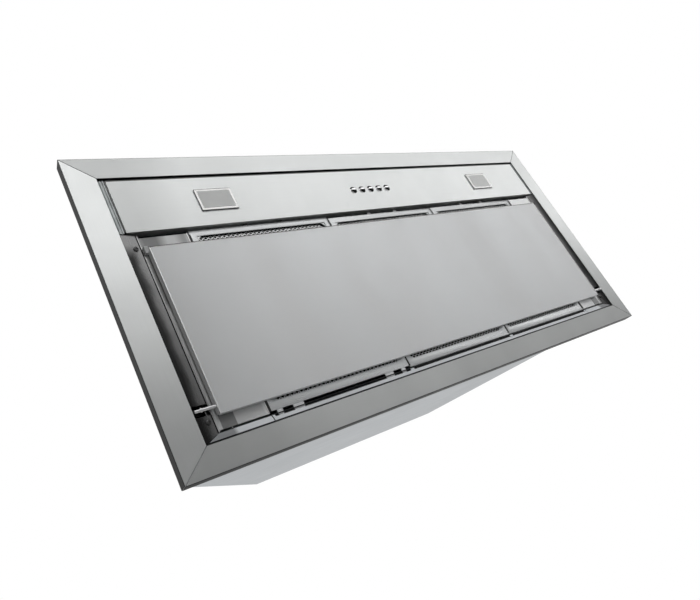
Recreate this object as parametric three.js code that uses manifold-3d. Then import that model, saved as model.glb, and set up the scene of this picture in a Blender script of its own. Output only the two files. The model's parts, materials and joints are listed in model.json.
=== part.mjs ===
// A range hood insert, to be hung in a cabinet over a cooktop, seen with its underside down.
// Millimetres. +Z up, -Y is the front with the controls, X runs along the width.
// The origin is the middle of the flange's underside. The casing rises from the flange,
// and the fascia, the grease filters and the hinged perimeter panel close it below.
import * as THREE from "three";
import { mergeVertices } from "three/addons/utils/BufferGeometryUtils.js";
import Module from "manifold-3d";

// Sheet thicknesses and clearances
const SHEET = 1;
const CASING_SHEET = 1.2;
const FIT = 0.3; // between pieces that seat on each other
const PLAY = 0.8; // round a tab in its slot

// Flange: four mitred strips, with a lip folded up round the outside
const FLANGE_WIDTH = 1100;
const FLANGE_DEPTH = 508;
const SIDE_STRIP = 43;
const END_STRIP = 38;
const FLANGE_LIP = 18;
const MITRE_GAP = 0.4;

// Casing: a box skirt under two sloping shoulders
const CASING_LAP_X = 1; // how far it stands outside the flange's opening
const CASING_LAP_Y = 9;
const SKIRT_HEIGHT = 157;
const CASING_HEIGHT = 450;
const TOP_HALF_WIDTH = 267;

// Duct collar with a two-leaf damper
const COLLAR_DIAMETER = 150;
const COLLAR_HEIGHT = 50;
const COLLAR_FOOT = 17;
const DAMPER_RISE = 28; // pin above the casing's top
const DAMPER_PIN_RADIUS = 2;
const DAMPER_KNUCKLE_WALL = 1.6;
const DAMPER_LEAF_SHEET = 1.2;
const DAMPER_LEAF_PLAY = 1;
const KNUCKLE_LENGTH = 20;
const KNUCKLE_STARTS = [-50, 5]; // the other leaf's knuckles lie between
const KNUCKLE_OVERLAP = 2;

// Side and rear rails: a sloping strip inside the flange, a web and a flange that fixes it
const RAIL_RUN_X = 25.5;
const RAIL_RUN_Y = 13;
const RAIL_RISE = 4.2;
const RAIL_BASE = SHEET + FIT;
const RAIL_TOP = 24;
const RAIL_FRONT_GAP = 2;
const RAIL_FOOT_GAP = 0.5; // to the flange's opening
const RAIL_REAR_GAP = 2; // between the rear rail's foot and the flange
const RAIL_WINDOW = 3.4; // depth of the openings in the rear strip, one behind each filter
const RAIL_WINDOW_INSET = 3; // from the filter's sides
const NOTCH_PLAY = 2; // round the drop links

// Fascia with the switches and the lights
const FASCIA_DEPTH = 97;
const FASCIA_FRONT_GAP = 5;
const FASCIA_SIDE_GAP = 11;
const FASCIA_RETURN = 13;

const BUTTON_COUNT = 5;
const BUTTON_PITCH = 21.75;
const BUTTON_RADIUS = 5.4;
const BUTTON_PROUD = 7;
const BUTTON_CHAMFER = 1;
const BUTTON_COLLAR = 1.6; // its inner rim, wider than the cap
const BUTTON_RIM_HEIGHT = 1.2;
const BUTTON_STEM_RADIUS = 3;
const BUTTON_STEM = 12;
const BUTTON_TRAVEL = 2;
const SWITCH_WALL = 5;
const SWITCH_HEIGHT = 20;

const LIGHT_INSET = 161.5; // from the fascia's end to the light's centre
const LIGHT_WIDTH = 65;
const LIGHT_DEPTH = 42;
const LIGHT_BORDER = 4;
const LIGHT_TRIM = 2.2;
const LIGHT_SKIRT_WALL = 1;
const LIGHT_SKIRT_HEIGHT = 16;
const LENS_THICKNESS = 2;
const LENS_SETBACK = 1;
const LAMP_CAN_HEIGHT = 26;
const LAMP_CAN_WALL = 1.5;

// Grease filters: channel frames round a mesh, held by tabs in front and behind
const FILTER_COUNT = 3;
const BLANKING_WIDTH = 77.5;
const FILTER_SPACE = 1.6; // between two filters
const FILTER_PLANE = 6; // underside of the filter frames
const FILTER_THICKNESS = 9;
const FILTER_RIM = 11;
const FILTER_FRONT_RIM = 7;
const FILTER_REAR_RIM = 12;
const FILTER_BACK_RIM = 8;
const FILTER_FRONT_GAP = 7;
const FILTER_REAR_GAP = 4.5;
const FILTER_SHIFTS = [0, 3, 3]; // how far back each filter stands in its play
const TAB_SHEET = 1.2;
const TAB_RISE = 1; // above the filter plane
const TAB_REACH = 9;
const FRONT_TAB_PLACE = 34;
const FRONT_TAB_WIDTH = 12;
const REAR_TABS = [{ inset: 45.7, width: 18 }, { inset: 14.7, width: 9 }]; // from the filter's sides
const MESH_COLUMNS = 6;
const MESH_ROWS = 12;
const MESH_STRAND = 4;
const MESH_SETBACK = 1.3;
const BLANKING_RETURN = 10;
const BLANKING_REAR_GAP = 1.8;

// Perimeter panel: a folded tray with a flat back sheet, on two drop links
const PANEL_SIDE_GAP = 7;
const PANEL_FRONT_GAP = 31.5;
const PANEL_REAR_GAP = 20.5;
const PANEL_PROUD = 3; // below the flange's underside
const PANEL_RETURN = 7.5;
const HINGE_INSET = 12.5;
const HINGE_HEIGHT = 0.6;
const ROD_RADIUS = 2.5;
const ROD_INSIDE = 8;
const ROD_END_GAP = 2;
const LINK_SHEET = 2;
const LINK_DEPTH = 12;
const LINK_EYE = 4.5; // from the rod's centre to the link's end
const LINK_HEAD = 20;
const LINK_HEAD_HEIGHT = 3.6;
const LINK_DROP = 18;
const GUIDE_DEPTH = 20;
const GUIDE_HEIGHT = 36;
const GUIDE_WIDTH = 18.5;
const CATCH_LENGTH = 12;
const CATCH_DEPTH = 5.2;

// Cross-head screws through the side rails
const SCREW_HEAD_RADIUS = 3.8;
const SCREW_HEAD_HEIGHT = 2.2; // from the rail's face
const SCREW_SHANK_RADIUS = 1.7;
const SCREW_LENGTH = 10;
const SCREW_CROWN = 0.8;
const SCREW_INSET = 16; // from the flange's opening
const SCREW_FRONT_INSET = 27; // behind the fascia
const SCREW_REAR_INSET = 29; // in front of the rear flange

// Blower: a scroll with its inlets on both sides and its outlet up into the collar
const SCROLL_TONGUE = 88;
const SCROLL_WIDEST = 136;
const SCROLL_WIDTH = 140;
const SCROLL_SHEET = 1.2;
const OUTLET_SIDE = 22.8; // the outlet's near wall from the impeller's axis
const OUTLET_RIM = 10;
const SCROLL_STEPS = 26;
const INLET_RADIUS = 62;
const IMPELLER_AXIS_HEIGHT = 300;
const IMPELLER_RADIUS = 80;
const IMPELLER_WIDTH = 124;
const BLADE_COUNT = 20;
const BLADE_DEPTH = 14;
const BLADE_SHEET = 1.5;
const BLADE_LEAN = 0.45;
const BLADE_SINK = 1; // into the rings and from their edges
const IMPELLER_DISC = 2;
const HUB_RADIUS = 13;
const HUB_LENGTH = 24;
const SHAFT_RADIUS = 5;
const MOTOR_RADIUS = 46;
const MOTOR_LENGTH = 82;
const MOTOR_SHOULDER = 9;
const MOTOR_GAP = 2;
const SHAFT_IN_MOTOR = 40;
const SPIDER_SHEET = 2.5;
const SPIDER_RING = 6;
const SPIDER_REACH = 84;
const SPIDER_ARM = 12;
const SPIDER_ARMS = 3;

// Electrics on the rear wall and the cable's inlet
const CONTROL_BOX_INSET = 148; // from the casing's left end
const CONTROL_BOX_BASE = 200;
const CONTROL_BOX_WIDTH = 180;
const CONTROL_BOX_HEIGHT = 90;
const CONTROL_BOX_DEPTH = 62;
const CONTROL_BOX_WALL = 1.5;
const BOARD_MARGIN = 6;
const BOARD_SHEET = 1.6;
const CAPACITOR_RADIUS = 18;
const CAPACITOR_HEIGHT = 60;
const GLAND_SIDE_INSET = 67; // from the left end of the casing's top
const GLAND_REAR_INSET = 105;
const GLAND_BORE = 5;
const GLAND_THREAD_RADIUS = 9.7;
const GLAND_HEAD_RADIUS = 14;
const GLAND_THREAD = 12;
const GLAND_HEAD = 16;
const GLAND_CHAMFER = 5;

// Sizes that follow from the ones above
const openX = FLANGE_WIDTH / 2 - SIDE_STRIP;
const openY = FLANGE_DEPTH / 2 - END_STRIP;
const casingX = openX + CASING_LAP_X;
const casingY = openY + CASING_LAP_Y;
const insideX = casingX - CASING_SHEET;
const insideY = casingY - CASING_SHEET;
const railFoot = openX - RAIL_FOOT_GAP;
const railX = railFoot - RAIL_RUN_X; // outer face of the side rails' webs
const railY = openY - RAIL_RUN_Y; // front face of the rear rail's web
const railFold = RAIL_BASE + RAIL_RISE;
const fasciaX = openX - FASCIA_SIDE_GAP;
const fasciaFront = -openY + FASCIA_FRONT_GAP;
const fasciaRear = fasciaFront + FASCIA_DEPTH;
const controlsY = (fasciaFront + fasciaRear) / 2;
const filterBankX = railX - BLANKING_WIDTH;
const filterPitch = (2 * filterBankX) / FILTER_COUNT;
const filterWidth = filterPitch - FILTER_SPACE;
const filterFront = fasciaRear + FILTER_FRONT_GAP;
const filterLength = railY - FILTER_REAR_GAP - filterFront;
const filterTop = FILTER_PLANE + FILTER_THICKNESS;
const tabBase = FILTER_PLANE + TAB_RISE;
const panelX = railX - PANEL_SIDE_GAP;
const panelFront = fasciaRear + PANEL_FRONT_GAP;
const panelRear = railY - PANEL_REAR_GAP;
const panelTop = PANEL_RETURN - PANEL_PROUD;
const hingeY = panelRear - HINGE_INSET;
const rodTip = insideX - ROD_END_GAP;
const guideBase = RAIL_TOP + FIT;
const guideTop = guideBase + GUIDE_HEIGHT;
const guideOuter = insideX - FIT;
const guideInner = guideOuter - GUIDE_WIDTH;
const linkX = (guideInner + guideOuter) / 2 - LINK_SHEET;
const screwPlaces = [fasciaRear + SCREW_FRONT_INSET, openY - SCREW_REAR_INSET];
const controlBoxLeft = -casingX + CONTROL_BOX_INSET;
const glandX = -TOP_HALF_WIDTH + GLAND_SIDE_INSET;
const glandY = casingY - GLAND_REAR_INSET;
const damperZ = CASING_HEIGHT + DAMPER_RISE;
const collarBore = COLLAR_DIAMETER / 2 - CASING_SHEET;
const impellerY = -(OUTLET_SIDE + SCROLL_WIDEST) / 2;
const scrollTop = CASING_HEIGHT - CASING_SHEET - FIT;

// The library that joins and cuts closed solids
const wasm = await Module();
wasm.setup();

function toSolid(geometry) {
  const bare = geometry.clone();
  bare.deleteAttribute("normal");
  bare.deleteAttribute("uv");
  const merged = mergeVertices(bare, 1e-3);
  return new wasm.Manifold(
    new wasm.Mesh({
      numProp: 3,
      vertProperties: Float32Array.from(merged.attributes.position.array),
      triVerts: Uint32Array.from(merged.index.array),
    }),
  );
}

function toGeometry(solid) {
  const mesh = solid.getMesh();
  const geometry = new THREE.BufferGeometry();
  geometry.setAttribute("position", new THREE.BufferAttribute(mesh.vertProperties, 3));
  geometry.setIndex(new THREE.BufferAttribute(mesh.triVerts, 1));
  return geometry;
}

function join(...geometries) {
  return toGeometry(geometries.map(toSolid).reduce((whole, piece) => whole.add(piece)));
}

function cut(geometry, ...tools) {
  return toGeometry(tools.map(toSolid).reduce((rest, tool) => rest.subtract(tool), toSolid(geometry)));
}

function common(geometry, other) {
  return toGeometry(toSolid(geometry).intersect(toSolid(other)));
}

// Shapes
function block([x0, x1], [y0, y1], [z0, z1]) {
  const box = new THREE.BoxGeometry(x1 - x0, y1 - y0, z1 - z0);
  return box.translate((x0 + x1) / 2, (y0 + y1) / 2, (z0 + z1) / 2);
}

function outlineShape(points) {
  const vectors = points.map(([a, b]) => new THREE.Vector2(a, b));
  return new THREE.Shape(THREE.ShapeUtils.isClockWise(vectors) ? vectors.reverse() : vectors);
}

function extruded(shape, length) {
  return new THREE.ExtrudeGeometry(shape, { depth: length, bevelEnabled: false, curveSegments: 12 });
}

// An outline of (x, y) points that rises from z0 to z1
function prismZ(points, z0, z1) {
  return extruded(outlineShape(points), z1 - z0).translate(0, 0, z0);
}

// An outline of (y, z) points from x0 to x1
function prismX(points, x0, x1) {
  const axes = new THREE.Matrix4().set(0, 0, 1, x0, 1, 0, 0, 0, 0, 1, 0, 0, 0, 0, 0, 1);
  return extruded(outlineShape(points), x1 - x0).applyMatrix4(axes);
}

// An outline of (x, z) points from y0 to y1
function prismY(points, y0, y1) {
  const axes = new THREE.Matrix4().set(1, 0, 0, 0, 0, 0, -1, y1, 0, 1, 0, 0, 0, 0, 0, 1);
  return extruded(outlineShape(points), y1 - y0).applyMatrix4(axes);
}

// The outline of a folded sheet: its one face follows the path, its thickness lies to the left
function foldedSheet(path, thickness) {
  const inner = path.map(([a, b], i) => {
    const before = path[Math.max(i - 1, 0)];
    const after = path[Math.min(i + 1, path.length - 1)];
    const into = i > 0 ? leftOf(before, [a, b]) : leftOf([a, b], after);
    const out = i < path.length - 1 ? leftOf([a, b], after) : into;
    const share = thickness / (1 + into[0] * out[0] + into[1] * out[1]);
    return [a + (into[0] + out[0]) * share, b + (into[1] + out[1]) * share];
  });
  return [...path, ...inner.reverse()];
}

function leftOf([a0, b0], [a1, b1]) {
  const length = Math.hypot(a1 - a0, b1 - b0);
  return [-(b1 - b0) / length, (a1 - a0) / length];
}

// A profile of (radius, height) points turned about Z
function turned(profile, segments) {
  const points = profile.map(([radius, height]) => new THREE.Vector2(radius, height));
  return new THREE.LatheGeometry(points, segments).rotateX(Math.PI / 2);
}

function rod(radius, length, segments) {
  return turned([[0, 0], [radius, 0], [radius, length], [0, length]], segments);
}

function rodAlongX(radius, x0, x1, y, z, segments) {
  return rod(radius, x1 - x0, segments).rotateY(Math.PI / 2).translate(x0, y, z);
}

function rodAlongY(radius, y0, y1, x, z, segments) {
  return rod(radius, y1 - y0, segments).rotateX(-Math.PI / 2).translate(x, y0, z);
}

// The same piece on the right, made from the one on the left
function mirrored(geometry) {
  const copy = (geometry.index ? geometry.toNonIndexed() : geometry.clone()).scale(-1, 1, 1);
  const position = copy.attributes.position;
  const corner = [new THREE.Vector3(), new THREE.Vector3()];
  for (let i = 0; i < position.count; i += 3) {
    corner[0].fromBufferAttribute(position, i + 1);
    corner[1].fromBufferAttribute(position, i + 2);
    position.setXYZ(i + 1, ...corner[1].toArray());
    position.setXYZ(i + 2, ...corner[0].toArray());
  }
  copy.deleteAttribute("normal");
  return copy;
}

// Materials
function material(color, roughness, metalness) {
  return new THREE.MeshStandardMaterial({ color, roughness, metalness });
}

const materials = {
  satinSteel: material(0xb9bab8, 0.38, 1),
  brightSteel: material(0xdededc, 0.18, 1),
  galvanised: material(0xa8acae, 0.5, 1),
  darkSteel: material(0x4b4d4e, 0.55, 1),
  aluminium: material(0xc9cbcc, 0.35, 1),
  blackPlastic: material(0x222324, 0.5, 0),
  greyPlastic: material(0x8c8e8f, 0.55, 0),
  frostedLens: material(0xb4b6b4, 0.6, 0),
  motorPaint: material(0x35393c, 0.5, 0.2),
  circuitBoard: material(0x2f5d3a, 0.6, 0),
};

function piece(name, geometry, surface) {
  const flat = geometry.index ? geometry.toNonIndexed() : geometry;
  flat.computeVertexNormals();
  const mesh = new THREE.Mesh(flat, surface);
  mesh.name = name;
  return mesh;
}

function groupOf(...pieces) {
  const group = new THREE.Group();
  group.add(...pieces.flat(2));
  return group;
}

const sides = [{ side: "left", sign: -1 }, { side: "right", sign: 1 }];

// A piece on each side, drawn once for the left
function pair(name, leftGeometry, surface) {
  return [
    piece(name + "_left", leftGeometry, surface),
    piece(name + "_right", mirrored(leftGeometry), surface),
  ];
}

// Flange
function flange() {
  const halfWidth = FLANGE_WIDTH / 2;
  const halfDepth = FLANGE_DEPTH / 2;
  const part = MITRE_GAP / 2;
  const frontPlan = [
    [-halfWidth + part, -halfDepth], [halfWidth - part, -halfDepth],
    [openX - part, -openY], [-openX + part, -openY],
  ];
  const frontFold = foldedSheet([[-halfDepth, FLANGE_LIP], [-halfDepth, 0], [-openY, 0]], SHEET);
  const front = common(
    prismX(frontFold, -halfWidth, halfWidth),
    prismZ(frontPlan, -SHEET, FLANGE_LIP + SHEET),
  );
  const rear = front.clone().rotateZ(Math.PI);

  const leftPlan = [
    [-halfWidth, -halfDepth + part], [-openX, -openY + part],
    [-openX, openY - part], [-halfWidth, halfDepth - part],
  ];
  const leftFold = foldedSheet([[-halfWidth, FLANGE_LIP], [-halfWidth, 0], [-openX, 0]], SHEET);
  const left = common(
    prismY(leftFold, -halfDepth, halfDepth),
    prismZ(leftPlan, -SHEET, FLANGE_LIP + SHEET),
  );
  return groupOf(
    piece("flange_front", front, materials.satinSteel),
    piece("flange_rear", rear, materials.satinSteel),
    pair("flange", left, materials.satinSteel),
  );
}

// Casing
function casing() {
  const face = [
    [-casingX, SHEET], [casingX, SHEET], [casingX, SKIRT_HEIGHT],
    [TOP_HALF_WIDTH, CASING_HEIGHT], [-TOP_HALF_WIDTH, CASING_HEIGHT], [-casingX, SKIRT_HEIGHT],
  ];
  const sideFold = foldedSheet(
    [[-TOP_HALF_WIDTH, CASING_HEIGHT], [-casingX, SKIRT_HEIGHT], [-casingX, SHEET]],
    CASING_SHEET,
  );
  const topX = TOP_HALF_WIDTH - CASING_SHEET - FIT;
  const top = cut(
    block([-topX, topX], [-insideY, insideY], [CASING_HEIGHT - CASING_SHEET, CASING_HEIGHT]),
    rod(collarBore, 3 * CASING_SHEET, 40).translate(0, 0, CASING_HEIGHT - 2 * CASING_SHEET),
    rod(GLAND_THREAD_RADIUS + FIT, 3 * CASING_SHEET, 20)
      .translate(glandX, glandY, CASING_HEIGHT - 2 * CASING_SHEET),
  );
  return groupOf(
    piece("casing_front", prismY(face, -casingY, -insideY), materials.galvanised),
    piece("casing_rear", prismY(face, insideY, casingY), materials.galvanised),
    pair("casing", prismY(sideFold, -insideY, insideY), materials.galvanised),
    piece("casing_top", top, materials.galvanised),
  );
}

// Duct collar and its damper
function ductCollar() {
  const foot = COLLAR_DIAMETER / 2 + COLLAR_FOOT;
  const outside = COLLAR_DIAMETER / 2;
  const top = CASING_HEIGHT + COLLAR_HEIGHT;
  const stop = collarBore - 2 * DAMPER_LEAF_PLAY;
  const stopTop = damperZ - DAMPER_LEAF_SHEET / 2 - FIT;
  const profile = [
    [collarBore, CASING_HEIGHT], [foot, CASING_HEIGHT], [foot, CASING_HEIGHT + CASING_SHEET],
    [outside, CASING_HEIGHT + CASING_SHEET], [outside, top], [collarBore, top],
    [collarBore, stopTop], [stop, stopTop], [stop, stopTop - 2 * CASING_SHEET],
    [collarBore, stopTop - 2 * CASING_SHEET], [collarBore, CASING_HEIGHT],
  ];
  const pinHole = rodAlongY(DAMPER_PIN_RADIUS + FIT, -foot, foot, 0, damperZ, 12);
  const pinEnd = outside + FIT;
  const leaf = damperLeaf();
  return groupOf(
    piece("duct_collar", cut(turned(profile, 40), pinHole), materials.galvanised),
    piece("damper_pin", rodAlongY(DAMPER_PIN_RADIUS, -pinEnd, pinEnd, 0, damperZ, 12), materials.brightSteel),
    piece("damper_leaf_left", leaf, materials.aluminium),
    piece("damper_leaf_right", leaf.clone().rotateZ(Math.PI), materials.aluminium),
  );
}

// The left leaf: a half disc with two knuckles round the pin
function damperLeaf() {
  const bore = DAMPER_PIN_RADIUS + FIT;
  const knuckle = bore + DAMPER_KNUCKLE_WALL;
  const edge = knuckle + 2 * FIT;
  const half = DAMPER_LEAF_SHEET / 2;
  const disc = rod(collarBore - DAMPER_LEAF_PLAY, DAMPER_LEAF_SHEET, 40);
  const leftHalf = block(
    [-COLLAR_DIAMETER, -edge],
    [-COLLAR_DIAMETER, COLLAR_DIAMETER],
    [-COLLAR_HEIGHT, COLLAR_HEIGHT],
  );
  const plate = common(disc, leftHalf).translate(0, 0, damperZ - half);
  const knuckles = KNUCKLE_STARTS.map((start) =>
    join(
      rodAlongY(knuckle, start, start + KNUCKLE_LENGTH, 0, damperZ, 16),
      block(
        [-edge - KNUCKLE_OVERLAP, -bore],
        [start, start + KNUCKLE_LENGTH],
        [damperZ - half, damperZ + half],
      ),
    ),
  );
  const pinBore = rodAlongY(bore, -COLLAR_DIAMETER, COLLAR_DIAMETER, 0, damperZ, 12);
  return cut(join(plate, ...knuckles), pinBore);
}

// Rails that frame the opening inside the flange
function rails() {
  const sideFold = foldedSheet(
    [[-railFoot, RAIL_BASE], [-railX, railFold], [-railX, RAIL_TOP], [-railFoot, RAIL_TOP]],
    SHEET,
  );
  const frontEnd = -insideY + FIT;
  const rearEnd = openY + CASING_LAP_Y;
  const blade = block(
    [-fasciaX - FIT - SHEET, -fasciaX - FIT],
    [fasciaFront, fasciaRear - RAIL_FRONT_GAP],
    [SHEET + 2 * FIT, RAIL_TOP],
  );
  const ledge = block(
    [-railFoot, -railX],
    [frontEnd, fasciaRear + 2 * RAIL_FRONT_GAP],
    [RAIL_TOP - SHEET, RAIL_TOP],
  );
  const beyondMitre = prismZ(
    [[-casingX, openY - FIT], [-railX, railY - FIT], [0, railY - FIT], [0, rearEnd], [-casingX, rearEnd]],
    -RAIL_TOP, 2 * RAIL_TOP,
  );
  const halfNotch = LINK_DEPTH / 2 + NOTCH_PLAY;
  const linkNotch = block(
    [-casingX, -railX - 2 * SHEET],
    [hingeY - halfNotch, hingeY + halfNotch],
    [-RAIL_TOP, 2 * RAIL_TOP],
  );
  const side = cut(
    join(prismY(sideFold, fasciaRear + RAIL_FRONT_GAP, openY), ledge, blade),
    beyondMitre,
    linkNotch,
    ...screwPlaces.map((y) => railScrew(SCREW_SHANK_RADIUS + FIT, 3 * SHEET, y)),
  );

  const rearFoot = insideY - FIT;
  const rearFold = foldedSheet(
    [[rearFoot, RAIL_TOP], [railY, RAIL_TOP], [railY, railFold], [openY - RAIL_REAR_GAP, RAIL_BASE]],
    SHEET,
  );
  const rearPlan = [
    [-railFoot, openY], [-railX, railY], [railX, railY],
    [railFoot, openY], [railFoot, rearFoot], [-railFoot, rearFoot],
  ];
  const tabSlots = filterPlaces().flatMap(({ x }) =>
    rearTabPlaces().map(({ place, width }) =>
      block(
        [x + place - width / 2 - PLAY, x + place + width / 2 + PLAY],
        [railY - SHEET, railY + 2 * SHEET],
        [tabBase - PLAY, tabBase + TAB_SHEET + PLAY],
      ),
    ),
  );
  const stripStart = railY + SHEET + FIT;
  const windowReach = filterWidth / 2 - RAIL_WINDOW_INSET;
  const windows = filterPlaces().map(({ x }) =>
    block([x - windowReach, x + windowReach], [stripStart, stripStart + RAIL_WINDOW], [-RAIL_TOP, tabBase]),
  );
  const slits = sides.map(({ sign }) => {
    const ends = [sign * filterBankX, sign * (filterBankX + FILTER_SPACE)].sort((a, b) => a - b);
    return block(ends, [stripStart, openY], [-RAIL_TOP, tabBase]);
  });
  const rear = cut(
    common(prismX(rearFold, -casingX, casingX), prismZ(rearPlan, -RAIL_TOP, 2 * RAIL_TOP)),
    ...tabSlots,
    ...windows,
    ...slits,
  );
  return groupOf(
    pair("side_rail", side, materials.satinSteel),
    piece("rear_rail", rear, materials.satinSteel),
  );
}

// A round tool or shank that stands square on the sloping strip of the left rail
function railScrew(radius, length, y) {
  return onRailSlope(rod(radius, 2 * length, 12).translate(0, 0, -length), y);
}

function onRailSlope(geometry, y) {
  const slope = Math.atan2(RAIL_RISE, RAIL_RUN_X);
  const x = openX - SCREW_INSET;
  const z = RAIL_BASE + (railFoot - x) * Math.tan(slope);
  return geometry.rotateY(-slope).translate(-x, y, z);
}

function screws() {
  const profile = [
    [0, -SCREW_HEAD_HEIGHT], [SCREW_HEAD_RADIUS - SCREW_CROWN, -SCREW_HEAD_HEIGHT],
    [SCREW_HEAD_RADIUS, -SCREW_HEAD_HEIGHT + SCREW_CROWN], [SCREW_HEAD_RADIUS, -FIT],
    [SCREW_SHANK_RADIUS, -FIT], [SCREW_SHANK_RADIUS, SCREW_LENGTH], [0, SCREW_LENGTH],
  ];
  const screw = (y) => onRailSlope(turned(profile, 16), y);
  return groupOf(
    pair("screw_front", screw(screwPlaces[0]), materials.darkSteel),
    pair("screw_rear", screw(screwPlaces[1]), materials.darkSteel),
  );
}

// Fascia and the controls in it
function fascia() {
  const lift = [0, FASCIA_RETURN];
  const tray = cut(
    block([-fasciaX, fasciaX], [fasciaFront, fasciaRear], lift),
    block(
      [-fasciaX + SHEET, fasciaX - SHEET],
      [fasciaFront + SHEET, fasciaRear - SHEET],
      [SHEET, 2 * FASCIA_RETURN],
    ),
    ...buttonPlaces().map((x) => rod(BUTTON_RADIUS + 2 * FIT, 3 * SHEET, 24).translate(x, controlsY, -SHEET)),
    ...sides.map(({ sign }) =>
      lightBlock(sign, -LIGHT_BORDER + LIGHT_SKIRT_WALL + FIT, [-SHEET, 2 * SHEET]),
    ),
    ...filterPlaces().flatMap(({ x }) =>
      [-FRONT_TAB_PLACE, FRONT_TAB_PLACE].map((place) =>
        block(
          [x + place - FRONT_TAB_WIDTH / 2 - PLAY, x + place + FRONT_TAB_WIDTH / 2 + PLAY],
          [fasciaRear - 2 * SHEET, fasciaRear + SHEET],
          [tabBase - PLAY, tabBase + TAB_SHEET + PLAY],
        ),
      ),
    ),
  );
  return groupOf(piece("fascia", tray, materials.satinSteel), switches(), lights());
}

function buttonPlaces() {
  return Array.from({ length: BUTTON_COUNT }, (_, i) => (i - (BUTTON_COUNT - 1) / 2) * BUTTON_PITCH);
}

function switches() {
  const rim = BUTTON_RADIUS + BUTTON_COLLAR;
  const rimBase = SHEET + FIT;
  const rimTop = rimBase + BUTTON_RIM_HEIGHT;
  const pocketTop = rimTop + BUTTON_TRAVEL + 4 * FIT;
  const cap = [
    [0, -BUTTON_PROUD], [BUTTON_RADIUS - BUTTON_CHAMFER, -BUTTON_PROUD],
    [BUTTON_RADIUS, -BUTTON_PROUD + BUTTON_CHAMFER], [BUTTON_RADIUS, rimBase],
    [rim, rimBase], [rim, rimTop], [BUTTON_STEM_RADIUS, rimTop],
    [BUTTON_STEM_RADIUS, rimTop + BUTTON_STEM], [0, rimTop + BUTTON_STEM],
  ];
  const halfLength = ((BUTTON_COUNT - 1) / 2) * BUTTON_PITCH + rim + SWITCH_WALL;
  const halfDepth = rim + SWITCH_WALL;
  const housing = cut(
    block(
      [-halfLength, halfLength],
      [controlsY - halfDepth, controlsY + halfDepth],
      [SHEET, SHEET + SWITCH_HEIGHT],
    ),
    ...buttonPlaces().flatMap((x) => [
      rod(rim + 2 * FIT, pocketTop + SHEET, 20).translate(x, controlsY, -SHEET),
      rod(BUTTON_STEM_RADIUS + 2 * FIT, 2 * SWITCH_HEIGHT, 16).translate(x, controlsY, -SHEET),
    ]),
  );
  return groupOf(
    piece("switch_housing", housing, materials.blackPlastic),
    buttonPlaces().map((x, i) =>
      piece("button_" + (i + 1), turned(cap, 24).translate(x, controlsY, 0), materials.brightSteel),
    ),
  );
}

// A box over one light's whole trim, grown by the margin, or drawn in where it is negative
function lightBlock(sign, margin, zs) {
  const x = sign * (fasciaX - LIGHT_INSET);
  const halfWidth = LIGHT_WIDTH / 2 + margin;
  const halfDepth = LIGHT_DEPTH / 2 + margin;
  return block([x - halfWidth, x + halfWidth], [controlsY - halfDepth, controlsY + halfDepth], zs);
}

function lights() {
  const lensBase = LENS_SETBACK - LIGHT_TRIM;
  return groupOf(
    sides.map(({ side, sign }) => {
      const bezel = cut(
        join(
          lightBlock(sign, 0, [-LIGHT_TRIM, 0]),
          lightBlock(sign, -LIGHT_BORDER + LIGHT_SKIRT_WALL, [-LIGHT_TRIM, LIGHT_SKIRT_HEIGHT]),
        ),
        lightBlock(sign, -LIGHT_BORDER, [-2 * LIGHT_TRIM, 2 * LIGHT_SKIRT_HEIGHT]),
      );
      const lens = lightBlock(sign, -LIGHT_BORDER - FIT, [lensBase, lensBase + LENS_THICKNESS]);
      const can = cut(
        lightBlock(sign, 0, [SHEET, SHEET + LAMP_CAN_HEIGHT]),
        lightBlock(sign, -LAMP_CAN_WALL, [0, SHEET + LAMP_CAN_HEIGHT - LAMP_CAN_WALL]),
      );
      return [
        piece("light_bezel_" + side, bezel, materials.brightSteel),
        piece("light_lens_" + side, lens, materials.frostedLens),
        piece("lamp_can_" + side, can, materials.galvanised),
      ];
    }),
  );
}

// Filters
function filterPlaces() {
  return Array.from({ length: FILTER_COUNT }, (_, i) => ({
    name: ["left", "middle", "right"][i] ?? "extra_" + i,
    x: (i - (FILTER_COUNT - 1) / 2) * filterPitch,
    shift: FILTER_SHIFTS[i] ?? 0,
  }));
}

function rearTabPlaces() {
  return REAR_TABS.flatMap(({ inset, width }) =>
    sides.map(({ sign }) => ({ place: sign * (filterWidth / 2 - inset), width })),
  );
}

function filters() {
  return groupOf(
    filterPlaces().map(({ name, x, shift }) => [
      piece("filter_frame_" + name, filterFrame(x, filterFront + shift), materials.aluminium),
      piece("filter_mesh_" + name, filterMesh(x, filterFront + shift), materials.aluminium),
    ]),
  );
}

function filterFrame(x, front) {
  const rear = front + filterLength;
  const half = filterWidth / 2;
  const plate = (margin, zs) =>
    block([x - half + margin, x + half - margin], [front + margin, rear - margin], zs);
  const tabZ = [tabBase, tabBase + TAB_SHEET];
  const frontTabs = [-FRONT_TAB_PLACE, FRONT_TAB_PLACE].map((place) =>
    block(
      [x + place - FRONT_TAB_WIDTH / 2, x + place + FRONT_TAB_WIDTH / 2],
      [front - TAB_REACH, front + SHEET / 2],
      tabZ,
    ),
  );
  const rearTabs = rearTabPlaces().map(({ place, width }) =>
    block([x + place - width / 2, x + place + width / 2], [rear - SHEET / 2, rear + TAB_REACH], tabZ),
  );
  return join(
    cut(
      plate(0, [FILTER_PLANE, filterTop]),
      plate(SHEET, [FILTER_PLANE + SHEET, filterTop - SHEET]),
      block(
        [x - half + FILTER_RIM, x + half - FILTER_RIM],
        [front + FILTER_FRONT_RIM, rear - FILTER_REAR_RIM],
        [FILTER_PLANE - SHEET, FILTER_PLANE + 2 * SHEET],
      ),
      plate(FILTER_BACK_RIM, [filterTop - 2 * SHEET, filterTop + SHEET]),
    ),
    ...frontTabs,
    ...rearTabs,
  );
}

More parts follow.
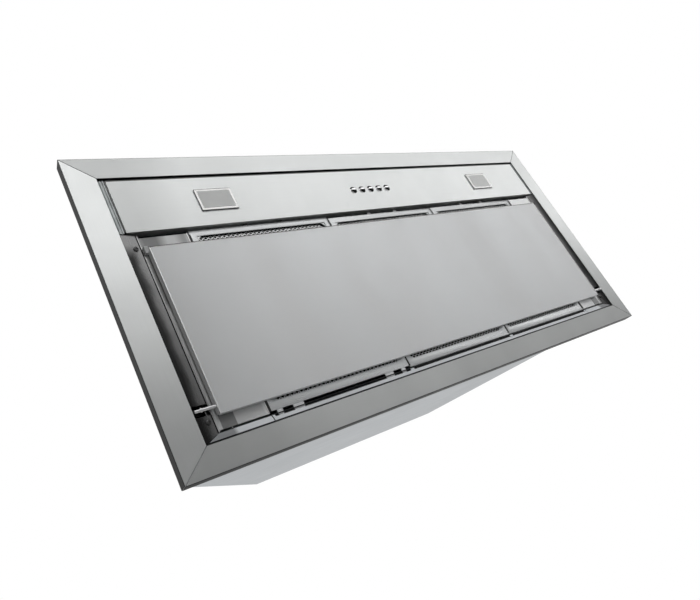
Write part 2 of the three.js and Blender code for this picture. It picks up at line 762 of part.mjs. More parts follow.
// Expanded metal: rows of diamonds, each row half a diamond along from the last
function filterMesh(x, front) {
  const halfWidth = filterWidth / 2 - SHEET - FIT;
  const length = filterLength - 2 * (SHEET + FIT);
  const low = front + SHEET + FIT;
  const border = FILTER_RIM - SHEET;
  const frontBorder = FILTER_FRONT_RIM - SHEET;
  const rearBorder = FILTER_REAR_RIM - SHEET;
  const columnPitch = (2 * (halfWidth - border)) / (MESH_COLUMNS + 0.5);
  const rowPitch = (length - frontBorder - rearBorder) / (MESH_ROWS + 1);
  const shape = outlineShape([
    [x - halfWidth, low], [x + halfWidth, low], [x + halfWidth, low + length], [x - halfWidth, low + length],
  ]);
  const halfGapX = columnPitch / 2 - MESH_STRAND / 2;
  const halfGapY = rowPitch - MESH_STRAND / 2;
  for (let row = 0; row < MESH_ROWS; row++) {
    for (let column = 0; column < MESH_COLUMNS; column++) {
      const cx = x - halfWidth + border + (column + (row % 2 ? 1 : 0.5)) * columnPitch;
      const cy = low + frontBorder + (row + 1) * rowPitch;
      const diamond = [[cx - halfGapX, cy], [cx, cy + halfGapY], [cx + halfGapX, cy], [cx, cy - halfGapY]];
      shape.holes.push(new THREE.Path(diamond.map(([a, b]) => new THREE.Vector2(a, b))));
    }
  }
  const base = FILTER_PLANE + SHEET + MESH_SETBACK;
  return extruded(shape, filterTop - SHEET - FIT - base).translate(0, 0, base);
}

function blankingPlates() {
  const edge = railX - FIT;
  const top = FILTER_PLANE + BLANKING_RETURN;
  const inner = filterBankX + FILTER_SPACE;
  const fold = foldedSheet(
    [[-edge, top], [-edge, FILTER_PLANE], [-inner, FILTER_PLANE], [-inner, top]],
    SHEET,
  );
  const plate = prismY(fold, filterFront, railY - BLANKING_REAR_GAP);
  return groupOf(pair("blanking_plate", plate, materials.satinSteel));
}

// Perimeter panel and what it hangs and latches on
function panel() {
  const rodHole = rodAlongX(ROD_RADIUS + FIT, -panelX - SHEET, panelX + SHEET, hingeY, HINGE_HEIGHT, 16);
  const tray = cut(
    block([-panelX, panelX], [panelFront, panelRear], [-PANEL_PROUD, panelTop]),
    block(
      [-panelX + SHEET, panelX - SHEET],
      [panelFront + SHEET, panelRear - SHEET],
      [-PANEL_PROUD + SHEET, panelTop + SHEET],
    ),
    rodHole,
  );
  const inset = SHEET + FIT;
  const back = block(
    [-panelX + inset, panelX - inset],
    [panelFront + inset, panelRear - inset],
    [panelTop - SHEET, panelTop],
  );
  return groupOf(
    piece("panel", tray, materials.satinSteel),
    piece("panel_back", back, materials.galvanised),
    hinges(),
    catches(),
  );
}

function hinges() {
  const rodBar = rodAlongX(ROD_RADIUS, -rodTip, -panelX + ROD_INSIDE, hingeY, HINGE_HEIGHT, 16);
  const headBase = guideTop + FIT + LINK_DROP;
  const headTop = headBase + LINK_HEAD_HEIGHT;
  const shank = LINK_DEPTH / 2;
  const head = LINK_HEAD / 2;
  const linkOutline = [
    [hingeY - shank, HINGE_HEIGHT - LINK_EYE], [hingeY + shank, HINGE_HEIGHT - LINK_EYE],
    [hingeY + shank, headBase], [hingeY + head, headBase], [hingeY + head, headTop],
    [hingeY - head, headTop], [hingeY - head, headBase], [hingeY - shank, headBase],
  ];
  const link = cut(
    prismX(linkOutline, -linkX - LINK_SHEET, -linkX),
    rodAlongX(ROD_RADIUS + FIT, -casingX, -railX, hingeY, HINGE_HEIGHT, 16),
  );
  const guide = cut(
    block(
      [-guideOuter, -guideInner],
      [hingeY - GUIDE_DEPTH / 2, hingeY + GUIDE_DEPTH / 2],
      [guideBase, guideTop],
    ),
    block(
      [-linkX - LINK_SHEET - FIT, -linkX + FIT],
      [hingeY - shank - FIT, hingeY + shank + FIT],
      [guideBase - SHEET, guideTop + SHEET],
    ),
  );
  return groupOf(
    pair("hinge_rod", rodBar, materials.brightSteel),
    pair("drop_link", link, materials.darkSteel),
    pair("link_guide", guide, materials.blackPlastic),
  );
}

function catches() {
  const magnet = block(
    [-railX + FIT, -panelX - 2 * FIT],
    [panelFront - CATCH_LENGTH / 2, panelFront + CATCH_LENGTH / 2],
    [FILTER_PLANE - FIT - CATCH_DEPTH, FILTER_PLANE - FIT],
  );
  return groupOf(pair("panel_magnet", magnet, materials.blackPlastic));
}

// Blower
function scrollOutline(offset) {
  const near = OUTLET_SIDE - offset;
  const tongue = SCROLL_TONGUE + offset;
  const widest = SCROLL_WIDEST + offset;
  const start = Math.acos(near / tongue);
  const points = Array.from({ length: SCROLL_STEPS + 1 }, (_, i) => {
    const angle = start + ((2 * Math.PI - start) * i) / SCROLL_STEPS;
    const radius = tongue + ((widest - tongue) * i) / SCROLL_STEPS;
    return [impellerY + radius * Math.cos(angle), IMPELLER_AXIS_HEIGHT + radius * Math.sin(angle)];
  });
  return [...points, [impellerY + widest, scrollTop + offset], [impellerY + near, scrollTop + offset]];
}

function blower() {
  const half = SCROLL_WIDTH / 2;
  const outer = half + SCROLL_SHEET;
  const rimY = [impellerY + OUTLET_SIDE - OUTLET_RIM, impellerY + SCROLL_WIDEST + OUTLET_RIM];
  const shell = common(
    prismX(scrollOutline(SCROLL_SHEET), -outer, outer),
    block([-2 * outer, 2 * outer], [-casingY, casingY], [0, scrollTop]),
  );
  const rim = block(
    [-outer - OUTLET_RIM, outer + OUTLET_RIM],
    rimY,
    [scrollTop - 2 * SCROLL_SHEET, scrollTop],
  );
  const scroll = cut(
    join(shell, rim),
    prismX(scrollOutline(0), -half, half),
    block(
      [-half, half],
      [impellerY + OUTLET_SIDE, impellerY + SCROLL_WIDEST],
      [scrollTop - OUTLET_RIM, scrollTop + OUTLET_RIM],
    ),
    rodAlongX(INLET_RADIUS, -2 * outer, 2 * outer, impellerY, IMPELLER_AXIS_HEIGHT, 32),
  );
  return groupOf(
    piece("blower_scroll", scroll, materials.galvanised),
    piece("impeller", impeller(), materials.galvanised),
    piece("motor", motor(), materials.motorPaint),
    piece("motor_spider", motorSpider(outer + FIT), materials.darkSteel),
  );
}

function aboutImpellerAxis(geometry) {
  return geometry.rotateY(Math.PI / 2).translate(0, impellerY, IMPELLER_AXIS_HEIGHT);
}

function impeller() {
  const half = IMPELLER_WIDTH / 2;
  const inner = IMPELLER_RADIUS - BLADE_DEPTH;
  const ring = (base) =>
    turned(
      [
        [inner, base], [IMPELLER_RADIUS, base], [IMPELLER_RADIUS, base + IMPELLER_DISC],
        [inner, base + IMPELLER_DISC], [inner, base],
      ],
      40,
    );
  const bladeHalf = BLADE_DEPTH / 2 - BLADE_SINK;
  const bladeEnd = half - BLADE_SINK;
  const blades = Array.from({ length: BLADE_COUNT }, (_, i) =>
    block([-bladeHalf, bladeHalf], [-BLADE_SHEET / 2, BLADE_SHEET / 2], [-bladeEnd, bladeEnd])
      .rotateZ(BLADE_LEAN)
      .translate((inner + IMPELLER_RADIUS) / 2, 0, 0)
      .rotateZ((2 * Math.PI * i) / BLADE_COUNT),
  );
  const disc = rod(inner + BLADE_DEPTH / 2, IMPELLER_DISC, 40).translate(0, 0, -IMPELLER_DISC / 2);
  const hub = rod(HUB_RADIUS, HUB_LENGTH, 20).translate(0, 0, -HUB_LENGTH / 2);
  const shaft = rod(SHAFT_RADIUS, HUB_LENGTH / 2 + MOTOR_GAP + SHAFT_IN_MOTOR, 16);
  return aboutImpellerAxis(join(disc, hub, shaft, ring(-half), ring(half - IMPELLER_DISC), ...blades));
}

// The motor's can, with the bore that the impeller's shaft turns in
function motor() {
  const start = HUB_LENGTH / 2 + MOTOR_GAP;
  const end = start + MOTOR_LENGTH;
  const bore = SHAFT_RADIUS + FIT;
  const boreEnd = start + SHAFT_IN_MOTOR + FIT;
  const profile = [
    [0, boreEnd], [bore, boreEnd], [bore, start],
    [MOTOR_RADIUS - MOTOR_SHOULDER, start], [MOTOR_RADIUS, start + MOTOR_SHOULDER],
    [MOTOR_RADIUS, end - MOTOR_SHOULDER], [MOTOR_RADIUS - MOTOR_SHOULDER, end], [0, end],
  ];
  return aboutImpellerAxis(turned(profile, 32));
}

// Three arms and a ring that hold the motor in the right-hand inlet
function motorSpider(base) {
  const inner = MOTOR_RADIUS + FIT;
  const ring = rod(inner + SPIDER_RING, SPIDER_SHEET, 32);
  const arms = Array.from({ length: SPIDER_ARMS }, (_, i) =>
    block([inner, SPIDER_REACH], [-SPIDER_ARM / 2, SPIDER_ARM / 2], [0, SPIDER_SHEET])
      .rotateZ((2 * Math.PI * i) / SPIDER_ARMS),
  );
  const bore = rod(inner, 3 * SPIDER_SHEET, 32).translate(0, 0, -SPIDER_SHEET);
  return aboutImpellerAxis(cut(join(ring, ...arms), bore).translate(0, 0, base));
}

// Electrics
function electrics() {
  const xs = [controlBoxLeft, controlBoxLeft + CONTROL_BOX_WIDTH];
  const ys = [insideY - FIT - CONTROL_BOX_DEPTH, insideY - FIT];
  const zs = [CONTROL_BOX_BASE, CONTROL_BOX_BASE + CONTROL_BOX_HEIGHT];
  const inset = ([low, high], margin) => [low + margin, high - margin];
  const box = cut(
    block(xs, ys, zs),
    block(
      inset(xs, CONTROL_BOX_WALL),
      [ys[0] - CONTROL_BOX_WALL, ys[1] - CONTROL_BOX_WALL],
      inset(zs, CONTROL_BOX_WALL),
    ),
  );
  const boardRear = ys[1] - CONTROL_BOX_WALL - FIT;
  const board = block(inset(xs, BOARD_MARGIN), [boardRear - BOARD_SHEET, boardRear], inset(zs, BOARD_MARGIN));
  const cover = block(xs, [ys[0] - CONTROL_BOX_WALL, ys[0]], zs);
  const can = rod(CAPACITOR_RADIUS, CAPACITOR_HEIGHT, 24).translate(
    xs[1] + FIT + CAPACITOR_RADIUS, insideY - FIT - CAPACITOR_RADIUS, CONTROL_BOX_BASE,
  );
  return groupOf(
    piece("control_box", box, materials.galvanised),
    piece("control_board", board, materials.circuitBoard),
    piece("control_box_cover", cover, materials.galvanised),
    piece("capacitor", can, materials.greyPlastic),
    piece("cable_gland", cableGland(), materials.blackPlastic),
  );
}

function cableGland() {
  const seat = CASING_HEIGHT + FIT;
  const profile = [
    [GLAND_BORE, CASING_HEIGHT - GLAND_THREAD], [GLAND_THREAD_RADIUS, CASING_HEIGHT - GLAND_THREAD],
    [GLAND_THREAD_RADIUS, seat], [GLAND_HEAD_RADIUS, seat],
    [GLAND_HEAD_RADIUS, seat + GLAND_HEAD - GLAND_CHAMFER],
    [GLAND_HEAD_RADIUS - GLAND_CHAMFER, seat + GLAND_HEAD], [GLAND_BORE, seat + GLAND_HEAD],
    [GLAND_BORE, CASING_HEIGHT - GLAND_THREAD],
  ];
  return turned(profile, 18).translate(glandX, glandY, 0);
}

const hoodInsert = groupOf(
  flange(), casing(), ductCollar(), rails(), screws(), fascia(), filters(), blankingPlates(),
  panel(), blower(), electrics(),
);

export default hoodInsert;
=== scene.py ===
"""Looks of the range hood insert: its finishes, smooth round pieces and fine mesh, in a plain studio.

Metres, in the part's own frame: +Z up into the cabinet, -Y towards the controls, X along the width.
"""
import json
import math

import bpy
from mathutils import Matrix, Quaternion, Vector


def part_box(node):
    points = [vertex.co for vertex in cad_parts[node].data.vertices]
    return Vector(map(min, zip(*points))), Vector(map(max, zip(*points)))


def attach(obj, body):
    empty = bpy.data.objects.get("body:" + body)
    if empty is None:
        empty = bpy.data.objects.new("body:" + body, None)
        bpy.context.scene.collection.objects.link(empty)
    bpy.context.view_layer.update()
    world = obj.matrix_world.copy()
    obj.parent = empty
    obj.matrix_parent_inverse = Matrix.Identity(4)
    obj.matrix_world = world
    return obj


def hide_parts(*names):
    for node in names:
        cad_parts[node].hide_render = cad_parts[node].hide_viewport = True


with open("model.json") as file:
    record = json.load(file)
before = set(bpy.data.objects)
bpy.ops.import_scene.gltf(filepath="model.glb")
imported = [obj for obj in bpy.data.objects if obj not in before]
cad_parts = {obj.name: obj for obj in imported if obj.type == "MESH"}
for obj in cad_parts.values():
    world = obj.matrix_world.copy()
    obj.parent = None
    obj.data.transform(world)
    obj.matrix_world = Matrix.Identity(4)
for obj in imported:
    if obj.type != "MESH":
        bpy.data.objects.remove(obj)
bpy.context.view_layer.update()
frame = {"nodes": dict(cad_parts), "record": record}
nodes = frame["nodes"]
slot_of = {part["node"]: part["material_slot"] for part in frame["record"]["subparts"]}

MM = 0.001
SIDES = ("left", "right")
FILTERS = ("left", "middle", "right")
BUTTONS = [f"button_{i}" for i in range(1, 6)]

# Places in the CAD that the finishes and pieces follow
FLANGE_HALF_WIDTH, FLANGE_HALF_DEPTH = 550 * MM, 254 * MM
MITRE = (43 * MM, 38 * MM)
RAIL_FOLD = 481 * MM
REAR_WEB, REAR_FOOT = 203 * MM, 214 * MM
FASCIA_FRONT = -211 * MM
CONTROLS_Y = -162.5 * MM
LIGHT_CENTRE = (334.5 * MM, CONTROLS_Y)
RAIL_FOOT, RAIL_BASE = 506.5 * MM, 1.3 * MM
RAIL_SLOPE = math.atan2(4.2, 25.5)
SCREW_X = 491 * MM
FILTER_TAB = 9 * MM
COLLAR_OUTSIDE, DAMPER_STOP_TOP = 75 * MM, 477.1 * MM
GLAND_SEAT = 450.3 * MM

# Sizes of what only the looks have
BUTTON_SHADE_STEP = 22 * MM  # about the buttons' pitch: the painted reflection on their chrome repeats at this step
REAR_RIM_RISE = 0.8 * MM
FRONT_RIM_REACH = 4 * MM
FILTER_RIMS = {"front": 11 * MM, "rear": 13.5 * MM, "side": 11 * MM}
FRONT_TONGUES = ((8 * MM, -32 * MM), (8 * MM, 36 * MM))  # width, and place from the filter's middle
REAR_TONGUES = ((18 * MM, 45.7 * MM), (9 * MM, 14.7 * MM))  # width, and place in from the filter's sides

# Camera: where the photograph was taken from, with its lens and the shift of its cropped frame
CAMERA_PLACE = Vector((-0.74151, 0.36159, -0.62160))
CAMERA_RIGHT = Vector((0.80452, 0.43073, -0.40893))
CAMERA_UP = Vector((0.21814, -0.85469, -0.47108))
CAMERA_LENS = 27.516
CAMERA_SHIFT = (0.0559, 0.0725)

# Studio
FLOOR_HEIGHT = -1.0
FLOOR_SIZE = 14.0
FLOOR_COLOR = (0.80, 0.80, 0.80)
FLOOR_GLOW = 0.5
AMBIENT = 0.12


# ---------------------------------------------------------------- materials

class Surface:
    """A material that is built up round one Principled shader."""

    def __init__(self, name, metallic, roughness):
        self.material = bpy.data.materials.new(name)
        self.material.use_nodes = True
        self.tree = self.material.node_tree
        self.shader = self.tree.nodes["Principled BSDF"]
        self.shader.inputs["Metallic"].default_value = metallic
        self.shader.inputs["Roughness"].default_value = roughness
        self.color = self.rough = None

    def add(self, kind, inputs, **settings):
        """A shader node of that kind, with its settings made and its sockets set or linked."""
        node = self.tree.nodes.new("ShaderNode" + kind)
        for key, value in settings.items():
            setattr(node, key, value)
        for socket, value in inputs.items():
            if isinstance(value, bpy.types.NodeSocket):
                self.tree.links.new(value, node.inputs[socket])
            else:
                node.inputs[socket].default_value = value
        return node

    def link(self, output, socket):
        self.tree.links.new(output, self.shader.inputs[socket])

    def place(self, stretch):
        """Object coordinates, so many steps of a pattern to the metre along X, Y and Z."""
        coordinates = self.add("TexCoord", {}).outputs["Object"]
        return self.add("Mapping", {"Vector": coordinates, "Scale": stretch}).outputs["Vector"]

    def noise(self, stretch, detail=2.0):
        place = self.place(stretch)
        return self.add("TexNoise", {"Vector": place, "Scale": 1.0, "Detail": detail}).outputs["Fac"]

    def cells(self, steps, output="Color"):
        place = self.place((steps, steps, steps))
        return self.add("TexVoronoi", {"Vector": place, "Scale": 1.0}).outputs[output]

    def between(self, factor, low, high):
        """A factor of 0.3 to 0.7 spread from low to high."""
        inputs = {"Value": factor, "From Min": 0.3, "From Max": 0.7, "To Min": low, "To Max": high}
        return self.add("MapRange", inputs).outputs["Result"]

    def reckon(self, operation, *values):
        return self.add("Math", dict(enumerate(values)), operation=operation).outputs[0]

    def sum(self, a, b):
        return self.reckon("ADD", a, b)

    def larger(self, a, b):
        return self.reckon("MAXIMUM", a, b)

    def smaller(self, a, b):
        return self.reckon("MINIMUM", a, b)

    def along(self, axis, centre=None):
        """Object coordinate along an axis, or the distance from a centre on it."""
        coordinates = self.add("TexCoord", {}).outputs["Object"]
        value = self.add("SeparateXYZ", {"Vector": coordinates}).outputs[axis]
        if centre is None:
            return value
        return self.reckon("ABSOLUTE", self.reckon("SUBTRACT", value, centre))

    def ramp(self, value, start, end):
        """0 up to start and 1 from end on, or the other way round if end is less."""
        return self.add("MapRange", {"Value": value, "From Min": start, "From Max": end}).outputs["Result"]

    def band(self, value, low, high, soft=0.15 * MM):
        """1 between low and high."""
        return self.smaller(self.ramp(value, low - soft, low), self.ramp(value, high + soft, high))

    def paint(self, factor, dark, light):
        """The base colour runs from dark to light with the factor."""
        ramp = self.add("ValToRGB", {"Fac": factor})
        for stop, color in zip(ramp.color_ramp.elements, (dark, light)):
            stop.color = (*color, 1.0)
        self.color = ramp.outputs["Color"]
        self.link(self.color, "Base Color")

    def shade(self, mask, share):
        """The base colour times a share where the mask is 1, as it was where it is 0."""
        factor = self.add("MapRange", {"Value": mask, "To Min": 1.0, "To Max": share}).outputs["Result"]
        self.color = self.add("VectorMath", {0: self.color, 1: factor}, operation="MULTIPLY").outputs[0]
        self.link(self.color, "Base Color")

    def fade(self, axis, start, end, share, centre=None):
        """The base colour as it is up to start on an axis, and times a share from end on."""
        self.shade(self.ramp(self.along(axis, centre), start, end), share)

    def roughen(self, factor, low, high):
        self.link(self.between(factor, low, high), "Roughness")

    def bump(self, height, depth, strength=1.0):
        bump = self.add("Bump", {"Height": height, "Distance": depth, "Strength": strength})
        self.link(bump.outputs["Normal"], "Normal")


def tone(color, share):
    """The colour, lighter or darker by a share."""
    return tuple(min(channel * share, 1.0) for channel in color)


def brushed_surface(name, grain, color, roughness, anisotropy, depth=0.06):
    """Sheet brushed along one axis: long fine lines, and clouds drawn out across the grain."""
    surface = Surface(name, 1.0, roughness)
    line = [1500.0, 1500.0, 1500.0]
    line["XYZ".index(grain)] = 12.0
    lines = surface.noise(line, detail=3.0)
    cloud = [1.5, 1.5, 1.5]
    cloud["XYZ".index(grain)] = 8.0
    clouds = surface.noise(cloud, detail=2.5)
    mixed = surface.add("MapRange", {"Value": lines, "To Min": -0.15, "To Max": 0.15}).outputs["Result"]
    surface.paint(surface.sum(clouds, mixed), tone(color, 1 - depth), tone(color, 1 + depth))
    fine = surface.between(lines, -0.04, 0.04)
    surface.rough = surface.sum(surface.between(clouds, roughness - 0.03, roughness + 0.05), fine)
    surface.link(surface.rough, "Roughness")
    surface.bump(lines, 0.02 * MM, 0.5)
    tangent = surface.add("Tangent", {}, direction_type="RADIAL", axis=grain)
    surface.link(tangent.outputs["Tangent"], "Tangent")
    surface.shader.inputs["Anisotropic"].default_value = anisotropy
    return surface


def flange_steel(name, grain, color):
    """Brushed strip with a painted dark reflection on its folded lip, a dark mitre line, and painted shade at
    places along its run.

    The side strips get painted shade towards the front, the rear one towards the right, both long ones at the
    left.
    """
    surface = brushed_surface(name, grain, color, 0.36, 0.8, 0.15)
    halves = (("X", FLANGE_HALF_WIDTH), ("Y", FLANGE_HALF_DEPTH))
    lip = surface.larger(*(surface.ramp(surface.along(axis, 0.0), half - 0.9 * MM, half - 0.5 * MM)
                           for axis, half in halves))
    # Painted dark reflection on the folded lip, which is also made rougher there.
    surface.shade(lip, 0.06)
    surface.link(surface.larger(surface.rough, surface.reckon("MULTIPLY", lip, 0.55)), "Roughness")
    # Painted shade along the strip's run.
    if grain == "Y":
        surface.fade("Y", -50 * MM, -200 * MM, 0.8)
    else:
        behind = surface.ramp(surface.along("Y"), 0.0, 100 * MM)
        surface.shade(surface.smaller(surface.ramp(surface.along("X"), -200 * MM, 450 * MM), behind), 0.74)
        surface.fade("X", -360 * MM, -470 * MM, 0.82)
    run, depth = MITRE
    length = math.hypot(run, depth)
    inwards = [surface.reckon("MULTIPLY_ADD", surface.along(axis, 0.0), share, -half * share)
               for (axis, half), share in zip(halves, (-depth / length, run / length))]
    from_mitre = surface.reckon("ABSOLUTE", surface.sum(*inwards))
    surface.shade(surface.ramp(from_mitre, 0.75 * MM, 0.45 * MM), 0.2)
    return surface.material


def fascia_steel(name, color):
    """Fascia with painted shade of the gap along its front edge, and painted shade towards its left end."""
    surface = brushed_surface(name, "X", color, 0.36, 0.8, 0.15)
    # Painted shade: the gap along the front edge, then towards the left end.
    surface.fade("Y", FASCIA_FRONT + 2.2 * MM, FASCIA_FRONT + 2 * MM, 0.14)
    surface.fade("X", -390 * MM, -470 * MM, 0.84)
    return surface.material


def side_rail_steel(name, color):
    """Rail with a painted dark reflection along its outer side, painted shade in a groove and painted light
    on its inner side up to the fold, and painted shade at its front on the left.
    """
    surface = brushed_surface(name, "Y", color, 0.28, 0.5)
    fold, groove = RAIL_FOLD + 1.8 * MM, RAIL_FOLD + 2 * MM
    across, along = surface.along("X", 0.0), surface.along("Y")
    on_left, on_right = (surface.ramp(surface.along("X"), 0.0, side) for side in (-MM, MM))
    start, end = -95 * MM, -72 * MM
    front = surface.ramp(along, end, start)
    behind = surface.larger(surface.ramp(along, start, end), on_right)
    # Noise that makes the edge of the painted dark reflection uneven.
    edge_wobble = surface.between(surface.noise((40.0, 16.0, 40.0), detail=5.0), -3.5 * MM, 3.5 * MM)
    uneven = surface.sum(across, edge_wobble)
    reflection_dim = surface.ramp(uneven, RAIL_FOLD + 3 * MM, RAIL_FOLD + 15 * MM)
    reflection_dark = surface.ramp(uneven, RAIL_FOLD + 10 * MM, RAIL_FOLD + 21 * MM)
    # Painted shade beyond the groove, and the painted dark reflection along the outer side.
    surface.shade(surface.smaller(surface.ramp(across, fold, groove), behind), 0.6)
    surface.shade(surface.smaller(reflection_dim, behind), 0.4)
    surface.shade(surface.smaller(reflection_dark, behind), 0.3)
    # Painted shade at the front on the left.
    surface.shade(surface.smaller(front, on_left), 0.55)
    # Painted light on the inner side up to the fold, and painted shade in the groove.
    surface.shade(surface.ramp(across, groove, fold), 1.8)
    surface.shade(surface.band(across, groove, RAIL_FOLD + 3.8 * MM), 0.04)
    return surface.material


def plate_steel(name, color):
    """Blanking plate with painted shade at its outer end and towards its inner end on the left, and over its
    front on the left.
    """
    surface = brushed_surface(name, "X", color, 0.42, 0.85)
    across, along = surface.along("X", 0.0), surface.along("Y")
    on_left = surface.ramp(surface.along("X"), 0.0, -MM)
    behind = surface.ramp(along, 0.0, 20 * MM)
    before_left = surface.smaller(surface.ramp(along, 20 * MM, 0.0), on_left)
    # Painted shade outwards from the inner end on the left, towards the outer end at the rear, and over the
    # front on the left.
    surface.shade(surface.smaller(surface.ramp(across, 409 * MM, 412 * MM), on_left), 0.82)
    surface.shade(surface.smaller(surface.ramp(across, 412 * MM, 454 * MM), behind), 0.94)
    surface.shade(before_left, 0.86)
    # Bands of painted shade at the outer end and near the inner end.
    shade_bands = ((454.5, 475, 1, behind, 0.42), (456, 475, 16, before_left, 0.42),
              (412, 416, 12, before_left, 0.6))
    for low, high, soft, where, share in shade_bands:
        shade_band = surface.band(across, low * MM, high * MM, soft * MM)
        surface.shade(surface.smaller(shade_band, where), share)
    return surface.material


def drawn_aluminium(name, color):
    """Filter frames with painted shade at their front, the more so to the right."""
    surface = brushed_surface(name, "X", color, 0.28, 0.6)
    front = surface.ramp(surface.along("Y"), 0.0, -60 * MM)
    surface.shade(front, 0.6)
    surface.shade(surface.smaller(front, surface.ramp(surface.along("X"), -200 * MM, 300 * MM)), 0.8)
    return surface.material


def panel_steel(name, color):
    """Panel with painted shade towards its ends."""
    surface = brushed_surface(name, "X", color, 0.46, 0.9)
    surface.fade("X", -330 * MM, -470 * MM, 0.84)
    surface.fade("X", -100 * MM, 300 * MM, 0.9)
    return surface.material


def rear_rail_steel(name, color):
    """Rear strip with painted shade at its ends, and painted black shade in its fold and at its foot."""
    surface = brushed_surface(name, "X", color, 0.42, 0.85)
    surface.fade("X", 458 * MM, 464 * MM, 0.42, centre=0.0)
    surface.fade("Y", REAR_WEB + 1.7 * MM, REAR_WEB + 1.4 * MM, 0.05)
    surface.fade("Y", REAR_FOOT - 0.9 * MM, REAR_FOOT - 0.7 * MM, 0.08)
    return surface.material


def bright_surface(name, color, roughness):
    """Polished metal with hairline scratches and a trace of haze."""
    surface = Surface(name, 1.0, roughness)
    haze = surface.noise((30.0, 30.0, 30.0), detail=4.0)
    surface.paint(haze, tone(color, 0.95), tone(color, 1.03))
    surface.roughen(surface.noise((60.0, 1400.0, 1400.0)), roughness - 0.04, roughness + 0.08)
    return surface


def bright_metal(name, color, roughness):
    return bright_surface(name, color, roughness).material


def bezel_metal(name, color, roughness):
    """Bright frame of a light, with painted shade on its sides and edges."""
    surface = bright_surface(name, color, roughness)
    x, y = LIGHT_CENTRE
    surface.shade(surface.band(surface.along("X", -x), 32.2 * MM, 34 * MM), 0.3)
    surface.fade("Y", 20.7 * MM, 20.9 * MM, 0.1, centre=y)
    surface.fade("Y", y - 19.5 * MM, y - 19.8 * MM, 0.3)
    return surface.material


def button_chrome(name):
    """Chrome with a painted dark reflection in a wedge at each cap's rear and a crescent at its front."""
    surface = Surface(name, 1.0, 0.12)
    haze = surface.noise((90.0, 90.0, 90.0), detail=3.0)
    surface.paint(haze, (0.88, 0.89, 0.89), (0.98, 0.98, 0.98))
    surface.roughen(haze, 0.08, 0.16)
    half, slant, offset = BUTTON_SHADE_STEP / 2, 0.78, 8.1 * MM
    across = surface.reckon("WRAP", surface.along("X"), half, -half)
    along = surface.reckon("SUBTRACT", surface.along("Y"), CONTROLS_Y)
    beside = surface.reckon("SUBTRACT", surface.reckon("MULTIPLY_ADD", across, slant, offset), along)
    wedge = surface.smaller(surface.ramp(along, 0.8 * MM, 1.6 * MM), surface.ramp(beside, 0.0, 0.6 * MM))
    front, left = surface.ramp(along, -1.3 * MM, -2.1 * MM), surface.ramp(across, 3.0 * MM, 1.6 * MM)
    # Painted dark reflection: the wedge and the crescent.
    surface.shade(surface.larger(wedge, surface.smaller(front, left)), 0.02)
    return surface.material


def felt(name, color):
    """Matted fibres, near black: a dark pad that stands in for the shade inside the filter."""
    surface = Surface(name, 0.0, 0.95)
    fibres = surface.noise((500.0, 700.0, 400.0), detail=5.0)
    surface.paint(fibres, tone(color, 0.6), tone(color, 1.4))
    surface.roughen(fibres, 0.9, 1.0)
    surface.bump(fibres, 0.3 * MM, 0.8)
    return surface.material


def mill_steel(name, color, roughness):
    """Unbrushed sheet: faint rolling marks and uneven grey patches."""
    surface = Surface(name, 1.0, roughness)
    rolled = surface.noise((9.0, 9.0, 240.0), detail=3.0)
    patches = surface.noise((6.0, 6.0, 6.0), detail=5.0)
    surface.paint(patches, tone(color, 0.88), tone(color, 1.08))
    surface.roughen(rolled, roughness - 0.06, roughness + 0.08)
    surface.bump(rolled, 0.03 * MM, 0.6)
    return surface.material


def zinc_sheet(name, color, roughness):
    """Galvanised sheet with its crystal flowers."""
    surface = Surface(name, 1.0, roughness)
    flowers = surface.cells(55.0)
    grey = surface.add("RGBToBW", {"Color": flowers}).outputs["Val"]
    surface.paint(grey, tone(color, 0.86), tone(color, 1.1))
    surface.roughen(grey, roughness - 0.08, roughness + 0.1)
    surface.bump(surface.noise((900.0, 900.0, 900.0)), 0.02 * MM, 0.6)
    return surface.material


def aluminium(name, color, roughness):
    """Drawn aluminium strip with a soft, slightly cloudy face."""
    surface = Surface(name, 1.0, roughness)
    clouds = surface.noise((14.0, 14.0, 14.0), detail=4.0)
    drawn = surface.noise((20.0, 700.0, 700.0))
    surface.paint(clouds, tone(color, 0.9), tone(color, 1.06))
    surface.roughen(drawn, roughness - 0.07, roughness + 0.09)
    surface.bump(drawn, 0.02 * MM, 0.5)
    return surface.material


def plastic(name, color, roughness, grain):
    """Moulded plastic with a fine leather-like grain, so many bumps to the metre."""
    surface = Surface(name, 0.0, roughness)
    bumps = surface.cells(grain, "Distance")
    clouds = surface.noise((25.0, 25.0, 25.0), detail=3.0)
    surface.paint(clouds, tone(color, 0.85), tone(color, 1.15))
    surface.roughen(clouds, roughness - 0.05, roughness + 0.07)
    surface.bump(bumps, 0.04 * MM, 0.5)
    return surface.material


def frosted_cover(name, color):
    """Frosted cover glass: a dull milky face with a fine even frost."""
    surface = Surface(name, 0.0, 0.5)
    frost = surface.cells(1600.0, "Distance")
    clouds = surface.noise((40.0, 40.0, 40.0), detail=3.0)
    surface.paint(clouds, tone(color, 0.95), tone(color, 1.05))
    surface.roughen(clouds, 0.42, 0.58)
    surface.bump(frost, 0.05 * MM, 0.6)
    surface.shader.inputs["Coat Weight"].default_value = 0.3
    surface.shader.inputs["Coat Roughness"].default_value = 0.25
    return surface.material


def enamel(name, color):
    """Semi-matt paint with orange peel."""
    surface = Surface(name, 0.0, 0.45)
    peel = surface.noise((500.0, 500.0, 500.0), detail=1.0)
    clouds = surface.noise((18.0, 18.0, 18.0), detail=4.0)
    surface.paint(clouds, tone(color, 0.85), tone(color, 1.15))
    surface.roughen(clouds, 0.38, 0.52)
    surface.bump(peel, 0.05 * MM, 0.6)
    return surface.material


